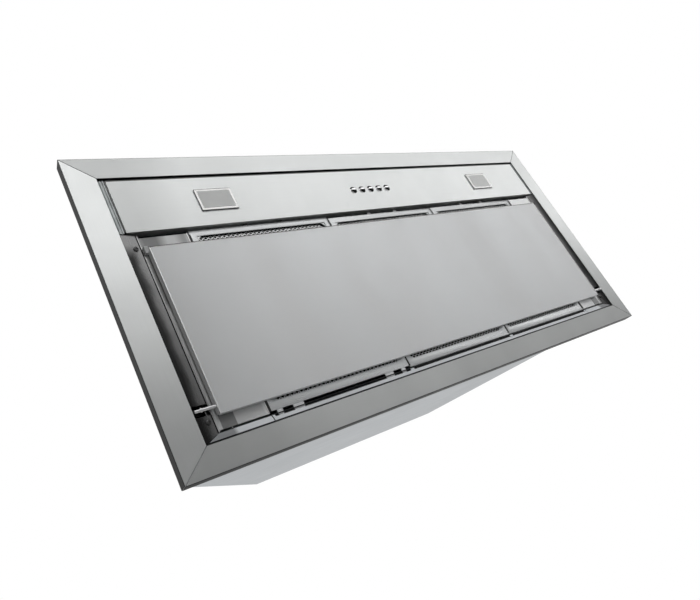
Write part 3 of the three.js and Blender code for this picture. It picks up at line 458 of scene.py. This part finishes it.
def laminate(name, color):
    """Circuit board: tinned tracks under green lacquer, in square steps."""
    surface = Surface(name, 0.0, 0.35)
    place = surface.place((120.0, 120.0, 120.0))
    inputs = {"Vector": place, "Scale": 1.0, "Mortar Size": 0.06}
    tracks = surface.add("TexBrick", inputs).outputs["Fac"]
    surface.paint(tracks, color, tone(color, 1.8))
    surface.roughen(tracks, 0.3, 0.45)
    surface.bump(tracks, 0.05 * MM, 0.6)
    return surface.material


STEEL = (0.73, 0.745, 0.74)
materials = {
    "steel": brushed_surface("steel_brushed_along_width", "X", STEEL, 0.36, 0.8).material,
    "flange_x": flange_steel("flange_steel_along_width", "X", STEEL),
    # The side strips are a lighter copy of the same steel: painted light.
    "flange_y": flange_steel("flange_steel_along_depth", "Y", tone(STEEL, 1.13)),
    "fascia": fascia_steel("fascia_steel", tone(STEEL, 1.07)),
    "panel": panel_steel("panel_steel", (0.945, 0.975, 0.99)),
    "side_rail": side_rail_steel("side_rail_steel", (0.36, 0.36, 0.36)),
    "rear_rail": rear_rail_steel("rear_rail_steel", (0.68, 0.70, 0.72)),
    "plate": plate_steel("plate_steel", (0.93, 0.94, 0.94)),
    "casing": mill_steel("casing_mill_steel", (0.40, 0.42, 0.435), 0.42),
    "zinc": zinc_sheet("zinc_sheet", (0.52, 0.54, 0.55), 0.45),
    "bright": bright_metal("polished_steel", (0.85, 0.85, 0.84), 0.12),
    "bezel": bezel_metal("bright_bezel", (0.62, 0.62, 0.61), 0.25),
    "dark": bright_metal("dark_passivated_steel", (0.14, 0.14, 0.14), 0.32),
    "aluminium": drawn_aluminium("drawn_aluminium", (0.92, 0.94, 0.95)),
    "mesh": aluminium("mesh_aluminium", (0.92, 0.93, 0.93), 0.3),
    "grey_strip": plastic("grey_rubber_strip", (0.60, 0.61, 0.61), 0.6, 300.0),
    "channel": plastic("channel_lining", (0.09, 0.09, 0.09), 0.6, 800.0),
    "gap": zinc_sheet("gap_strip_steel", (0.36, 0.38, 0.38), 0.4),
    "chrome": bright_metal("chrome", (0.95, 0.95, 0.95), 0.1),
    "button": button_chrome("button_chrome"),
    "felt": felt("dark_felt", (0.02, 0.02, 0.02)),
    "lens": frosted_cover("frosted_cover", (0.80, 0.81, 0.80)),
    "black": plastic("black_moulding", (0.03, 0.03, 0.03), 0.45, 1200.0),
    "grey": plastic("grey_moulding", (0.36, 0.37, 0.37), 0.5, 1000.0),
    "paint": enamel("motor_paint", (0.10, 0.11, 0.12)),
    "board": laminate("board_laminate", (0.04, 0.16, 0.07)),
}

FINISH_OF_SLOT = {
    "satin_steel": "steel",
    "casing_steel": "casing",
    "galvanised": "zinc",
    "bright_steel": "bright",
    "bezel_metal": "bezel",
    "screw_steel": "dark",
    "aluminium": "aluminium",
    "aluminium_mesh": "mesh",
    "frosted_lens": "lens",
    "black_plastic": "black",
    "grey_plastic": "grey",
    "motor_paint": "paint",
    "circuit_board": "board",
}
FINISH_OF_NODE = {
    "flange_front": "flange_x",
    "flange_rear": "flange_x",
    "flange_left": "flange_y",
    "flange_right": "flange_y",
    "side_rail_left": "side_rail",
    "side_rail_right": "side_rail",
    "rear_rail": "rear_rail",
    "blanking_plate_left": "plate",
    "blanking_plate_right": "plate",
    "panel": "panel",
    "fascia": "fascia",
    "panel_magnet_left": "grey_strip",
    "panel_magnet_right": "grey_strip",
}

# Rounds on the solids' own edges
EDGE_ROUND = 0.25 * MM
ROUND_OF_NODE = {"panel": 0.9 * MM, "blanking_plate_left": 0.6 * MM, "blanking_plate_right": 0.6 * MM}


def finish_of(node):
    return materials[FINISH_OF_NODE.get(node) or FINISH_OF_SLOT[slot_of[node]]]


def dress_frame():
    """Each CAD node gets its finish and, on its own edges, the small round that a sheet or casting has."""
    for name, node in nodes.items():
        for place in node.material_slots:
            place.link = "OBJECT"
            place.material = finish_of(name)
        weld = node.modifiers.new("weld", "WELD")
        weld.merge_threshold = 0.005 * MM
        edge = node.modifiers.new("edge", "BEVEL")
        edge.width = ROUND_OF_NODE.get(name, EDGE_ROUND)
        edge.segments = 3
        edge.limit_method = "ANGLE"
        edge.angle_limit = math.radians(32)


# ---------------------------------------------------------------- shapes, as (vertices, faces)

def merged(*shapes):
    vertices, faces = [], []
    for more_vertices, more_faces in shapes:
        start = len(vertices)
        vertices += more_vertices
        faces += [[start + i for i in face] for face in more_faces]
    return vertices, faces


def moved(shape, matrix):
    return [matrix @ Vector(point) for point in shape[0]], shape[1]


def shifted(shape, x, y, z):
    return moved(shape, Matrix.Translation((x, y, z)))


def along_x(shape):
    """A shape drawn about Z, laid along X."""
    return moved(shape, Matrix.Rotation(math.pi / 2, 4, "Y"))


def along_y(shape):
    return moved(shape, Matrix.Rotation(-math.pi / 2, 4, "X"))


def prism(outline, low, high):
    """An outline of (x, y) points, drawn anticlockwise, from z low to high."""
    count = len(outline)
    vertices = [Vector((x, y, low)) for x, y in outline] + [Vector((x, y, high)) for x, y in outline]
    sides = [[i, (i + 1) % count, (i + 1) % count + count, i + count] for i in range(count)]
    return vertices, [list(range(count))[::-1], list(range(count, 2 * count)), *sides]


def prism_y(outline, low, high):
    """An outline of (x, z) points, drawn clockwise, from y low to high."""
    vertices, faces = prism(outline, low, high)
    return [Vector((x, y, z)) for x, z, y in vertices], faces


def bar(xs, ys, zs):
    return prism([(xs[0], ys[0]), (xs[1], ys[0]), (xs[1], ys[1]), (xs[0], ys[1])], *zs)


def lathe(profile, steps=48):
    """A profile of (radius, height) points turned about Z. It starts and ends on the axis, or closes."""
    closed = profile[0][0] > 0
    vertices, rings, faces = [], [], []
    for radius, height in profile:
        start = len(vertices)
        if radius == 0:
            vertices.append(Vector((0, 0, height)))
            rings.append([start] * steps)
            continue
        for i in range(steps):
            angle = 2 * math.pi * i / steps
            vertices.append(Vector((radius * math.cos(angle), radius * math.sin(angle), height)))
        rings.append(list(range(start, start + steps)))
    pairs = list(zip(rings, rings[1:] + rings[:1])) if closed else list(zip(rings, rings[1:]))
    for low, high in pairs:
        for i in range(steps):
            j = (i + 1) % steps
            corners = [low[i], low[j], high[j], high[i]]
            faces.append([corner for k, corner in enumerate(corners) if corner not in corners[:k]])
    return vertices, faces


def rod(radius, length, steps=16):
    """A plain rod about Z, standing on the origin."""
    return lathe([(0, 0), (radius, 0), (radius, length), (0, length)], steps)


def chamfered_rod(radius, length, chamfer, steps):
    return lathe([(0, 0), (radius - chamfer, 0), (radius, chamfer), (radius, length - chamfer),
                  (radius - chamfer, length), (0, length)], steps)


def rounded(points, radius, steps=4, closed=False):
    """The same line with its corners turned into arcs."""
    result = []
    for i, corner in enumerate(points):
        if not closed and i in (0, len(points) - 1):
            result.append(tuple(corner))
            continue
        here = Vector(corner)
        before = Vector(points[i - 1]) - here
        after = Vector(points[(i + 1) % len(points)]) - here
        reach = min(radius, before.length * 0.45, after.length * 0.45)
        start, end = here + before.normalized() * reach, here + after.normalized() * reach
        for k in range(steps + 1):
            t = k / steps
            result.append(tuple(start * (1 - t) ** 2 + here * 2 * t * (1 - t) + end * t * t))
    return result


def piece(name, shape, body, slot, material=None, replaced=(), crease=35):
    """A finished piece of the object, riding on its body."""
    mesh = bpy.data.meshes.new(name)
    mesh.from_pydata([tuple(point) for point in shape[0]], [], shape[1])
    mesh.shade_smooth()
    mesh.set_sharp_from_angle(angle=math.radians(crease))
    made = bpy.data.objects.new(name, mesh)
    bpy.context.scene.collection.objects.link(made)
    made.data.materials.append(material or materials[FINISH_OF_SLOT[slot]])
    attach(made, body)
    if replaced:
        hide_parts(*replaced)
    return made


def chrome_piece(name, shape, body, replaced=()):
    piece(name, shape, body, "bright_steel", material=materials["chrome"], replaced=replaced)


def centre_of(node):
    low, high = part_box(node)
    return (low + high) / 2


# ---------------------------------------------------------------- round pieces

def buttons():
    """Five low chrome caps, each in a chrome ring."""
    crown, cap_radius, bore = -3.4 * MM, 5.4 * MM, 5.65 * MM
    seat, collar, stem = 1.3 * MM, 2.5 * MM, 3 * MM
    face = [(0, crown), (2.4 * MM, crown + 0.12 * MM), (4.2 * MM, crown + 0.4 * MM),
            (4.9 * MM, crown + 0.65 * MM), (5.3 * MM, crown + 1.1 * MM), (cap_radius, crown + 1.6 * MM)]
    ring = [(bore, -0.9 * MM), (6.1 * MM, -1.1 * MM), (6.8 * MM, -0.9 * MM), (7.4 * MM, -0.35 * MM),
            (7.6 * MM, -0.02 * MM), (bore, -0.02 * MM)]
    chrome = materials["button"]
    for name in BUTTONS:
        low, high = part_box(name)
        middle, rim = (low + high) / 2, (high.x - low.x) / 2
        back = [(cap_radius, seat), (rim, seat), (rim, collar), (stem, collar), (stem, high.z), (0, high.z)]
        cap = shifted(lathe(face + back, 40), middle.x, middle.y, 0)
        piece(name + "_cap", cap, name, "bright_steel", material=chrome, replaced=[name])
        bush = shifted(lathe(ring, 40), middle.x, middle.y, 0)
        piece(name + "_ring", bush, "hood", "bright_steel", material=chrome)


def screws():
    """Pan heads with a cross recess in place of the plain heads."""
    for place in ("front", "rear"):
        for side in SIDES:
            name = f"screw_{place}_{side}"
            piece(name + "_head", cross_head(name, side), "hood", "screw_steel", replaced=[name])


def cross_head(node, side):
    """The head as a dome of small faces, pushed in where the cross is, and its shank, square to the rail."""
    head, height, crown, rim = 3.8 * MM, 2.2 * MM, 1.0 * MM, 0.3 * MM
    shank, shank_end = 1.7 * MM, 8 * MM
    half_slot, slot_reach, recess = 0.55 * MM, 2.3 * MM, 1.2 * MM
    steps, rings = 64, 16
    vertices = [Vector((0, 0, recess - height))]
    for ring in range(1, rings + 1):
        radius = head * ring / rings
        dome = crown * (ring / rings) ** 4 - height
        for i in range(steps):
            angle = 2 * math.pi * i / steps
            x, y = radius * math.cos(angle), radius * math.sin(angle)
            inside = min(abs(x), abs(y)) < half_slot and radius < slot_reach
            vertices.append(Vector((x, y, dome + (recess if inside else 0))))
    faces = [[0, 1 + (i + 1) % steps, 1 + i] for i in range(steps)]
    for ring in range(rings - 1):
        for i in range(steps):
            a, b = 1 + ring * steps + i, 1 + ring * steps + (i + 1) % steps
            faces.append([a, b, b + steps, a + steps])
    outline = [(head, crown - height), (head, -rim), (shank, -rim), (shank, shank_end), (0, shank_end)]
    sign = 1 if side == "right" else -1
    rail_face = RAIL_BASE + (RAIL_FOOT - SCREW_X) * math.tan(RAIL_SLOPE)
    place = Matrix.Translation((sign * SCREW_X, centre_of(node).y, rail_face))
    turn = Matrix.Rotation(sign * RAIL_SLOPE, 4, "Y")
    return moved(merged((vertices, faces), lathe(outline, steps)), place @ turn)


def hinge_rods():
    """Bright rods with chamfered ends."""
    for side in SIDES:
        name = "hinge_rod_" + side
        low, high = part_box(name)
        middle = centre_of(name)
        laid = along_x(chamfered_rod((high.z - low.z) / 2, high.x - low.x, 0.5 * MM, 32))
        chrome_piece(name + "_bar", shifted(laid, low.x, middle.y, middle.z), "panel_links", replaced=[name])


def duct_collar():
    """The spun collar, with its foot, stiffening bead, curled edge and damper stop, and its screws."""
    low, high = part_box("duct_collar")
    foot, base, top = high.x, low.z, high.z
    outside, sheet = COLLAR_OUTSIDE, 1.2 * MM
    bore = outside - sheet
    bead = top - 12 * MM
    outer = [(bore, base), (foot, base), (foot, base + sheet), (outside + 3 * MM, base + sheet),
             (outside + 0.8 * MM, base + 2 * MM), (outside, base + 4 * MM), (outside, bead - 3 * MM),
             (outside + 1.6 * MM, bead - 1.5 * MM), (outside + 2 * MM, bead),
             (outside + 1.6 * MM, bead + 1.5 * MM), (outside, bead + 3 * MM),
             (outside, top - 0.6 * MM), (outside - 0.6 * MM, top)]
    stop, stop_base = bore - 2 * MM, DAMPER_STOP_TOP - 2.4 * MM
    inner = [(bore + 0.4 * MM, top), (bore, top - 0.4 * MM), (bore, DAMPER_STOP_TOP), (stop, DAMPER_STOP_TOP),
             (stop, stop_base), (bore, stop_base)]
    piece("duct_collar_spinning", lathe(outer + inner, 96), "hood", "galvanised", replaced=["duct_collar"])
    head = lathe([(0, 0), (3.6 * MM, 0), (3.4 * MM, 1.2 * MM), (2.2 * MM, 1.9 * MM), (0, 2.1 * MM)], 20)
    ring, count = (foot + outside) / 2, 6
    angles = [2 * math.pi * (i + 0.5) / count for i in range(count)]
    heads = [shifted(head, ring * math.cos(angle), ring * math.sin(angle), base + sheet) for angle in angles]
    piece("duct_collar_screws", merged(*heads), "hood", "screw_steel")


def damper_pin():
    low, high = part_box("damper_pin")
    radius, middle = (high.x - low.x) / 2, centre_of("damper_pin")
    pin = shifted(along_y(chamfered_rod(radius, high.y - low.y, 0.3 * radius, 24)), middle.x, low.y, middle.z)
    piece("damper_pin_bar", pin, "hood", "bright_steel", replaced=["damper_pin"])


def cable_gland():
    """A moulded gland: thread below the sheet, a hexagon and a ribbed cap above it."""
    low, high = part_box("cable_gland")
    middle, top, seat = centre_of("cable_gland"), high.z, GLAND_SEAT
    bore, thread, pitch, groove = 5 * MM, 9.7 * MM, 1.5 * MM, 0.7 * MM
    corner, nut_height, cap_radius, cap_mouth = 13.6 * MM, 5 * MM, 12 * MM, 9 * MM
    hexagon = [(corner * math.cos(k * math.pi / 3), corner * math.sin(k * math.pi / 3)) for k in range(6)]
    nut = prism(rounded(hexagon, 1.5 * MM, closed=True), seat, seat + nut_height)
    threads = [(bore, low.z), (thread - 0.5 * MM, low.z)]
    height = low.z + 1 * MM
    while height < seat - pitch:
        threads += [(thread, height), (thread - groove, height + pitch / 2)]
        height += pitch
    threads += [(thread - groove, seat), (bore, seat)]
    cap_base = seat + nut_height
    cap = rounded([(bore, cap_base), (cap_radius, cap_base), (cap_radius, top - 5 * MM), (cap_mouth, top),
                   (bore, top)], 1.2 * MM)
    count = 18
    rib = bar((cap_radius - 0.4 * MM, cap_radius + 0.7 * MM), (-0.5 * MM, 0.5 * MM),
              (cap_base + 0.5 * MM, top - 6 * MM))
    ribs = [moved(rib, Matrix.Rotation(2 * math.pi * k / count, 4, "Z")) for k in range(count)]
    whole = merged(nut, lathe(threads, 36), lathe(cap, 36), *ribs)
    piece("cable_gland_moulding", shifted(whole, middle.x, middle.y, 0), "hood", "black_plastic",
          replaced=["cable_gland"])


# ---------------------------------------------------------------- filters and lights

def zigzag(x0, x1, y, z, pitch, rise, strand, gauge, first):
    """One strand of expanded metal: a zigzag ribbon along X that leans between its knots."""
    count = max(2, round((x1 - x0) / (pitch / 2)))
    vertices, faces = [], []
    for k in range(count + 1):
        x = x0 + (x1 - x0) * k / count
        up = 1 if (k + first) % 2 else -1
        centre_y, centre_z = y + up * rise, z + up * gauge * 0.35
        for dy, dz in ((-0.5, -0.5), (0.5, -0.42), (0.3, 0.5), (-0.3, 0.42)):
            vertices.append(Vector((x, centre_y + dy * strand, centre_z + dz * gauge)))
    for k in range(count):
        a = 4 * k
        faces += [[a + i, a + 4 + i, a + 4 + (i + 1) % 4, a + (i + 1) % 4] for i in range(4)]
    return vertices, [[0, 1, 2, 3], [4 * count + i for i in (3, 2, 1, 0)], *faces]


def expanded_layer(low, high, z, pitch, short, strand, gauge):
    """Strands side by side, each half a diamond along from the last."""
    rows = round((high.y - low.y) / (short / 2))
    step = (high.y - low.y) / rows
    rise = (step - strand) / 2 + strand * 0.35
    return merged(*(zigzag(low.x, high.x, low.y + (row + 0.5) * step, z, pitch, rise, strand, gauge, row % 2)
                    for row in range(rows)))


def filter_meshes():
    """Expanded metal below, a pleated dark felt above it that stands in for the shade inside the filter, and
    two wires that keep them flat.
    """
    for side in FILTERS:
        name, body = "filter_mesh_" + side, "filter_" + side
        low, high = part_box(name)
        fine = expanded_layer(low, high, low.z + 1.9 * MM, pitch=8 * MM, short=6 * MM, strand=1.25 * MM,
                              gauge=0.9 * MM)
        piece(name + "_layer", fine, body, "aluminium_mesh", replaced=[name], crease=30)
        # The dark felt is painted shade: it darkens the holes of the mesh.
        shade_pad = pleats(low, high, high.z - 1.2 * MM, pitch=12 * MM, depth=1.4 * MM)
        piece(name + "_felt", shade_pad, body, "black_plastic", material=materials["felt"])
        wire = along_y(rod(1.2 * MM, high.y - low.y, 12))
        wires = [shifted(wire, low.x + (high.x - low.x) * share, low.y, (low.z + high.z) / 2)
                 for share in (1 / 3, 2 / 3)]
        piece(f"filter_wires_{side}", merged(*wires), body, "bright_steel")


def pleats(low, high, z, pitch, depth, sheet=0.5 * MM):
    """A sheet in shallow waves along X."""
    count = 4 * round((high.x - low.x) / pitch)
    vertices, faces = [], []
    for k in range(count + 1):
        x = low.x + (high.x - low.x) * k / count
        height = z + depth / 2 * math.cos(math.pi / 2 * k)
        for y, up in ((low.y, 0), (high.y, 0), (high.y, sheet), (low.y, sheet)):
            vertices.append(Vector((x, y, height + up)))
    for k in range(count):
        a = 4 * k
        faces += [[a + i, a + (i + 1) % 4, a + 4 + (i + 1) % 4, a + 4 + i] for i in range(4)]
    return vertices, [[3, 2, 1, 0], [4 * count + i for i in range(4)], *faces]


def frame_ring(box, rim_share, inset, height, rise):
    """Corners of a frame's section point: so far in from the outside, and higher at the rear."""
    x0, x1, y0, y1 = box
    side, front, rear = (inset + rim_share * FILTER_RIMS[place] for place in ("side", "front", "rear"))
    low, high = height, height + rim_share * rise
    return [Vector((x0 + side, y0 + front, low)), Vector((x1 - side, y0 + front, low)),
            Vector((x1 - side, y1 - rear, high)), Vector((x0 + side, y1 - rear, high))]


def filter_frames():
    """Channel frames with rounded folds, whose rear rim slopes up to the mesh, and their spring tabs, some of
    them black as painted shade.
    """
    for side in FILTERS:
        name = "filter_frame_" + side
        low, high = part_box(name)
        box = (low.x, high.x, low.y + FILTER_TAB - FRONT_RIM_REACH, high.y - FILTER_TAB)
        base, top, sheet, back_rim = low.z, high.z, 1 * MM, 8 * MM
        section = [(0, 0, top), (0, 0, base + 0.8 * MM), (0, 0.25 * MM, base + 0.25 * MM),
                   (0, 0.8 * MM, base), (1, -0.7 * MM, base), (1, -0.2 * MM, base + 0.2 * MM),
                   (1, 0, base + 0.6 * MM), (1, 0, base + sheet), (0, sheet, base + sheet),
                   (0, sheet, top - sheet), (0, back_rim, top - sheet), (0, back_rim, top)]
        rings = [frame_ring(box, share, inset, z, REAR_RIM_RISE) for share, inset, z in section]
        vertices = [corner for ring in rings for corner in ring]
        faces = []
        for k in range(len(rings)):
            a, b = 4 * k, 4 * ((k + 1) % len(rings))
            faces += [[a + i, b + i, b + (i + 1) % 4, a + (i + 1) % 4] for i in range(4)]
        piece(name + "_section", (vertices, faces), "filter_" + side, "aluminium", replaced=[name])
        x0, x1, y0, y1 = box
        middle, z = (x0 + x1) / 2, base + sheet
        front = [tongue(middle + offset, y0, FRONT_RIM_REACH - FILTER_TAB, width, z)
                 for width, offset in FRONT_TONGUES]
        rear = [tongue(x, y1, FILTER_TAB, width, z) for width, inset in REAR_TONGUES
                for x in (x0 + inset, x1 - inset)]
        # Tabs shown black stand in for the shade in the slots: painted shade.
        for place, tabs, bright in (("front", front, side != "left"), ("rear", rear, side == "left")):
            piece(f"filter_tongues_{place}_{side}", merged(*tabs), "filter_" + side, "aluminium",
                  material=materials["aluminium" if bright else "black"])


def tongue(x, root, reach, width, base):
    """A tab about x, from its root along Y as far as it reaches, with the corners of its tip cut off."""
    half, cut, tip = width / 2, 2 * MM, root + reach
    back = cut if reach > 0 else -cut
    outline = [(x - half, root - back / 4), (x + half, root - back / 4), (x + half, tip - back),
               (x + half - cut, tip), (x - half + cut, tip), (x - half, tip - back)]
    return prism(outline if reach > 0 else outline[::-1], base, base + 1.2 * MM)


def corner_keys():
    """A small plate across each corner of a filter's window, inside the frame's folded rim."""
    reach, back, sheet = 7 * MM, 3 * MM, 0.8 * MM
    for side in FILTERS:
        low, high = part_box("filter_frame_" + side)
        front = low.y + FILTER_TAB - FRONT_RIM_REACH + FILTER_RIMS["front"]
        rear = high.y - FILTER_TAB - FILTER_RIMS["rear"]
        plates = []
        for x, into_x in ((low.x + FILTER_RIMS["side"], 1), (high.x - FILTER_RIMS["side"], -1)):
            for y, into_y, lift in ((front, 1, 0), (rear, -1, REAR_RIM_RISE)):
                z = low.z + 1.05 * MM + lift
                back_x, back_y = x - into_x * back, y - into_y * back
                corner = [(back_x, back_y), (x + into_x * reach, back_y), (x + into_x * reach, y),
                          (x, y + into_y * reach), (back_x, y + into_y * reach)]
                if into_x * into_y < 0:
                    corner.reverse()
                plates.append(prism(corner, z, z + sheet))
        piece(f"filter_corner_keys_{side}", merged(*plates), "filter_" + side, "aluminium")


def panel_trim():
    """Bright beads at the panel's sides and front, slanted strips at its sides, and a black strip before it
    that stands in for the shade under the panel's front edge.
    """
    low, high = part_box("panel")
    length, edge = high.y - low.y, low.z + 0.3 * MM
    bead = along_y(rod(0.8 * MM, length))
    beads = [shifted(bead, x, low.y, edge) for x in (low.x, high.x)]
    chrome_piece("panel_side_beads", merged(*beads), "panel")
    strips = []
    for x, out in ((low.x, -MM), (high.x, MM)):
        root, top = x - 0.1 * out, high.z - 0.3 * MM
        section = [(root, low.z + MM), (root, top), (x + 2.5 * out, top)]
        strips.append(prism_y(section if out > 0 else section[::-1], low.y + MM, high.y - MM))
    piece("panel_side_strips", merged(*strips), "panel", "black_plastic", material=materials["grey_strip"])
    start, end = low.x + 2 * MM, high.x - 2 * MM
    # Painted shade: a black strip where the panel's front edge casts its shadow.
    front_shade_strip = bar((start, end), (low.y - 2.4 * MM, low.y), (low.z + 0.6 * MM, low.z + 2.4 * MM))
    piece("panel_front_shade_strip", front_shade_strip, "panel", "black_plastic")
    front = along_x(rod(0.7 * MM, end - start))
    chrome_piece("panel_front_bead", shifted(front, start, low.y - 0.2 * MM, edge), "panel")


def blanking_hems():
    """A fold that catches the light at each blanking plate's inner end."""
    radius = 1.1 * MM
    for side, sign in (("left", -1), ("right", 1)):
        low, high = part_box("blanking_plate_" + side)
        x = (low.x if sign > 0 else high.x) + sign * radius
        hem = along_y(rod(radius, high.y - low.y))
        chrome_piece("blanking_hem_" + side, shifted(hem, x, low.y, low.z + 0.3 * MM), "hood")


def filter_seam_shade_strips():
    """Black strips that stand in for the shade in the seams beside and between the filters."""
    low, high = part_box("filter_frame_middle")
    neighbour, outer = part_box("filter_frame_right")
    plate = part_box("blanking_plate_right")[0]
    ys, zs = (low.y + FILTER_TAB, high.y - FILTER_TAB - 3 * MM), (low.z - 0.3 * MM, low.z - 0.06 * MM)
    spans = ((high.x - 0.6 * MM, neighbour.x + 0.6 * MM), (outer.x - 1.4 * MM, plate.x + 0.2 * MM))
    seams = [bar(sorted(sign * x for x in span), ys, zs) for span in spans for sign in (-1, 1)]
    piece("filter_seam_shade_strips", merged(*seams), "hood", "black_plastic")


def drop_links():
    """Straps whose lower ends are rounded about the hinge rods."""
    half, eye_radius, shoulder, head_height = 6 * MM, 3.7 * MM, 8 * MM, 3.6 * MM
    for side in SIDES:
        name = "drop_link_" + side
        low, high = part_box(name)
        pivot = centre_of("hinge_rod_" + side)
        arc = [math.radians(180 + 15 * k) for k in range(13)]
        eye = [(pivot.y + eye_radius * math.cos(turn), pivot.z + eye_radius * math.sin(turn)) for turn in arc]
        front, rear, head = pivot.y - half, pivot.y + half, high.z - head_height
        outline = [*eye, (rear, shoulder), (rear, head), (high.y, head), (high.y, high.z),
                   (low.y, high.z), (low.y, head), (front, head), (front, shoulder)]
        vertices, faces = prism(outline, low.x, high.x)
        strap = [Vector((x, y, z)) for y, z, x in vertices], faces
        piece(name + "_strap", strap, "panel_links", "screw_steel", material=materials["chrome"],
              replaced=[name])


def rear_channel():
    """A ribbed black lining that closes the channel behind the rear rail's web and stands in for the shade in
    it.
    """
    low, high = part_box("rear_rail")
    xs, top = (low.x + 3 * MM, high.x - 3 * MM), 10 * MM
    floor = bar(xs, (REAR_WEB + 1.4 * MM, high.y - 0.5 * MM), (top - 0.6 * MM, top))
    ribs = [bar(xs, (REAR_WEB + y * MM, REAR_WEB + (y + 1) * MM), (top - 1.1 * MM, top - 0.6 * MM))
            for y in (3, 6, 9, 12, 15)]
    piece("rear_channel_shade_lining", merged(floor, *ribs), "hood", "black_plastic", material=materials["channel"])


def gap_strips():
    """Ribbed strips that close the gap between the fascia's ends and the flange."""
    ys = (-212 * MM, -114.5 * MM)
    sections = (((497.7, 506.2), (3.2, 4.0)), ((502.4, 504.6), (1.8, 3.2)), ((498.2, 500.2), (1.8, 3.2)))
    for side, sign in (("left", -1), ("right", 1)):
        bars = [bar(sorted(sign * x * MM for x in xs), ys, [z * MM for z in zs]) for xs, zs in sections]
        piece(f"gap_strip_{side}", merged(*bars), "hood", "satin_steel", material=materials["gap"])


def light_lenses():
    """Frosted covers with a low crown and fine ribs along their length, a little larger than the lens."""
    lap, drop = 2.1 * MM, 1.15 * MM
    across, along = 40, 24
    crown, rib, softness = 0.35 * MM, 0.06 * MM, 12
    for side in SIDES:
        name = "light_lens_" + side
        low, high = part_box(name)
        low, high = low - Vector((lap, lap, drop)), high + Vector((lap, lap, 0))
        vertices, faces = [], []
        for j in range(across + 1):
            for i in range(along + 1):
                u, v = i / along, j / across
                edge = min(1.0, min(u, 1 - u, v, 1 - v) * softness)
                bulge = (crown + rib * math.cos(v * across * math.pi)) * edge
                vertices.append(Vector((low.x + u * (high.x - low.x), low.y + v * (high.y - low.y),
                                        low.z + crown - bulge)))
        width = along + 1
        for j in range(across):
            for i in range(along):
                a = j * width + i
                faces.append([a, a + width, a + width + 1, a + 1])
        plate = bar((low.x, high.x), (low.y, high.y), (low.z + crown, high.z))
        piece(name + "_cover", merged((vertices, faces), plate), "hood", "frosted_lens", replaced=[name],
              crease=60)


# ---------------------------------------------------------------- studio

def make_floor():
    """Pale paint that the camera sees a little brighter than the lamps make it."""
    half = FLOOR_SIZE / 2
    shape = [(-half, -half, 0), (half, -half, 0), (half, half, 0), (-half, half, 0)]
    mesh = bpy.data.meshes.new("floor")
    mesh.from_pydata(shape, [], [[0, 1, 2, 3]])
    floor = bpy.data.objects.new("floor", mesh)
    floor.location = (0, 0, FLOOR_HEIGHT)
    bpy.context.scene.collection.objects.link(floor)
    surface = Surface("floor_paint", 0.0, 0.9)
    surface.paint(surface.noise((0.8, 0.8, 0.8)), tone(FLOOR_COLOR, 0.99), tone(FLOOR_COLOR, 1.01))
    seen = surface.add("LightPath", {}).outputs["Is Camera Ray"]
    surface.link(surface.reckon("MULTIPLY", seen, FLOOR_GLOW), "Emission Strength")
    surface.shader.inputs["Emission Color"].default_value = (1, 1, 1, 1)
    floor.data.materials.append(surface.material)


def make_world():
    """White where it is seen, mirrored or looked at through glass, and dimmer as a light."""
    world = bpy.data.worlds.new("studio")
    bpy.context.scene.world = world
    world.use_nodes = True
    tree = world.node_tree
    rays = tree.nodes.new("ShaderNodeLightPath")
    seen = rays.outputs["Is Camera Ray"]
    for output in ("Is Glossy Ray", "Is Transmission Ray"):
        both = tree.nodes.new("ShaderNodeMath")
        both.operation = "MAXIMUM"
        tree.links.new(seen, both.inputs[0])
        tree.links.new(rays.outputs[output], both.inputs[1])
        seen = both.outputs[0]
    strength = tree.nodes.new("ShaderNodeMapRange")
    strength.inputs["To Min"].default_value = AMBIENT
    strength.inputs["To Max"].default_value = 1.0
    tree.links.new(seen, strength.inputs["Value"])
    tree.links.new(strength.outputs["Result"], tree.nodes["Background"].inputs["Strength"])
    tree.nodes["Background"].inputs["Color"].default_value = (1, 1, 1, 1)


def lamp(name, place, aim, size, power, turn=0.0):
    """A rectangular soft lamp that neither the camera nor a mirror sees, turned about its own axis."""
    light = bpy.data.lights.new(name, "AREA")
    light.shape = "RECTANGLE"
    light.size, light.size_y = size
    light.energy = power
    made = bpy.data.objects.new(name, light)
    bpy.context.scene.collection.objects.link(made)
    direction = Vector(aim) - Vector(place)
    made.rotation_mode = "QUATERNION"
    made.rotation_quaternion = direction.to_track_quat("-Z", "Y") @ Quaternion((0, 0, 1), math.radians(turn))
    made.location = place
    made.visible_camera = False
    made.visible_glossy = False


def make_lights():
    """A long lamp aimed down at the floor, which lights the hood from below, and one over the hood."""
    lamp("front_bank", place=(1.5, -1.08, -0.45), aim=(1.5, -1.08, -1.0), size=(5.4, 0.9), power=47, turn=10)
    lamp("overhead", place=(-1.0, 0.6, 3.0), aim=(0, 0, 0.2), size=(2.2, 2.2), power=16)


def make_camera():
    data = bpy.data.cameras.new("camera")
    data.lens = CAMERA_LENS
    data.shift_x, data.shift_y = CAMERA_SHIFT
    data.clip_start = 0.01
    camera = bpy.data.objects.new("camera", data)
    bpy.context.scene.collection.objects.link(camera)
    axes = Matrix((CAMERA_RIGHT, CAMERA_UP, CAMERA_RIGHT.cross(CAMERA_UP))).transposed()
    camera.matrix_world = Matrix.Translation(CAMERA_PLACE) @ axes.to_4x4()
    bpy.context.scene.camera = camera


bpy.context.scene.view_settings.view_transform = "Standard"
make_camera()
make_world()
make_lights()
make_floor()
dress_frame()
buttons()
screws()
hinge_rods()
duct_collar()
damper_pin()
cable_gland()
filter_meshes()
filter_frames()
corner_keys()
panel_trim()
blanking_hems()
filter_seam_shade_strips()
drop_links()
rear_channel()
gap_strips()
light_lenses()
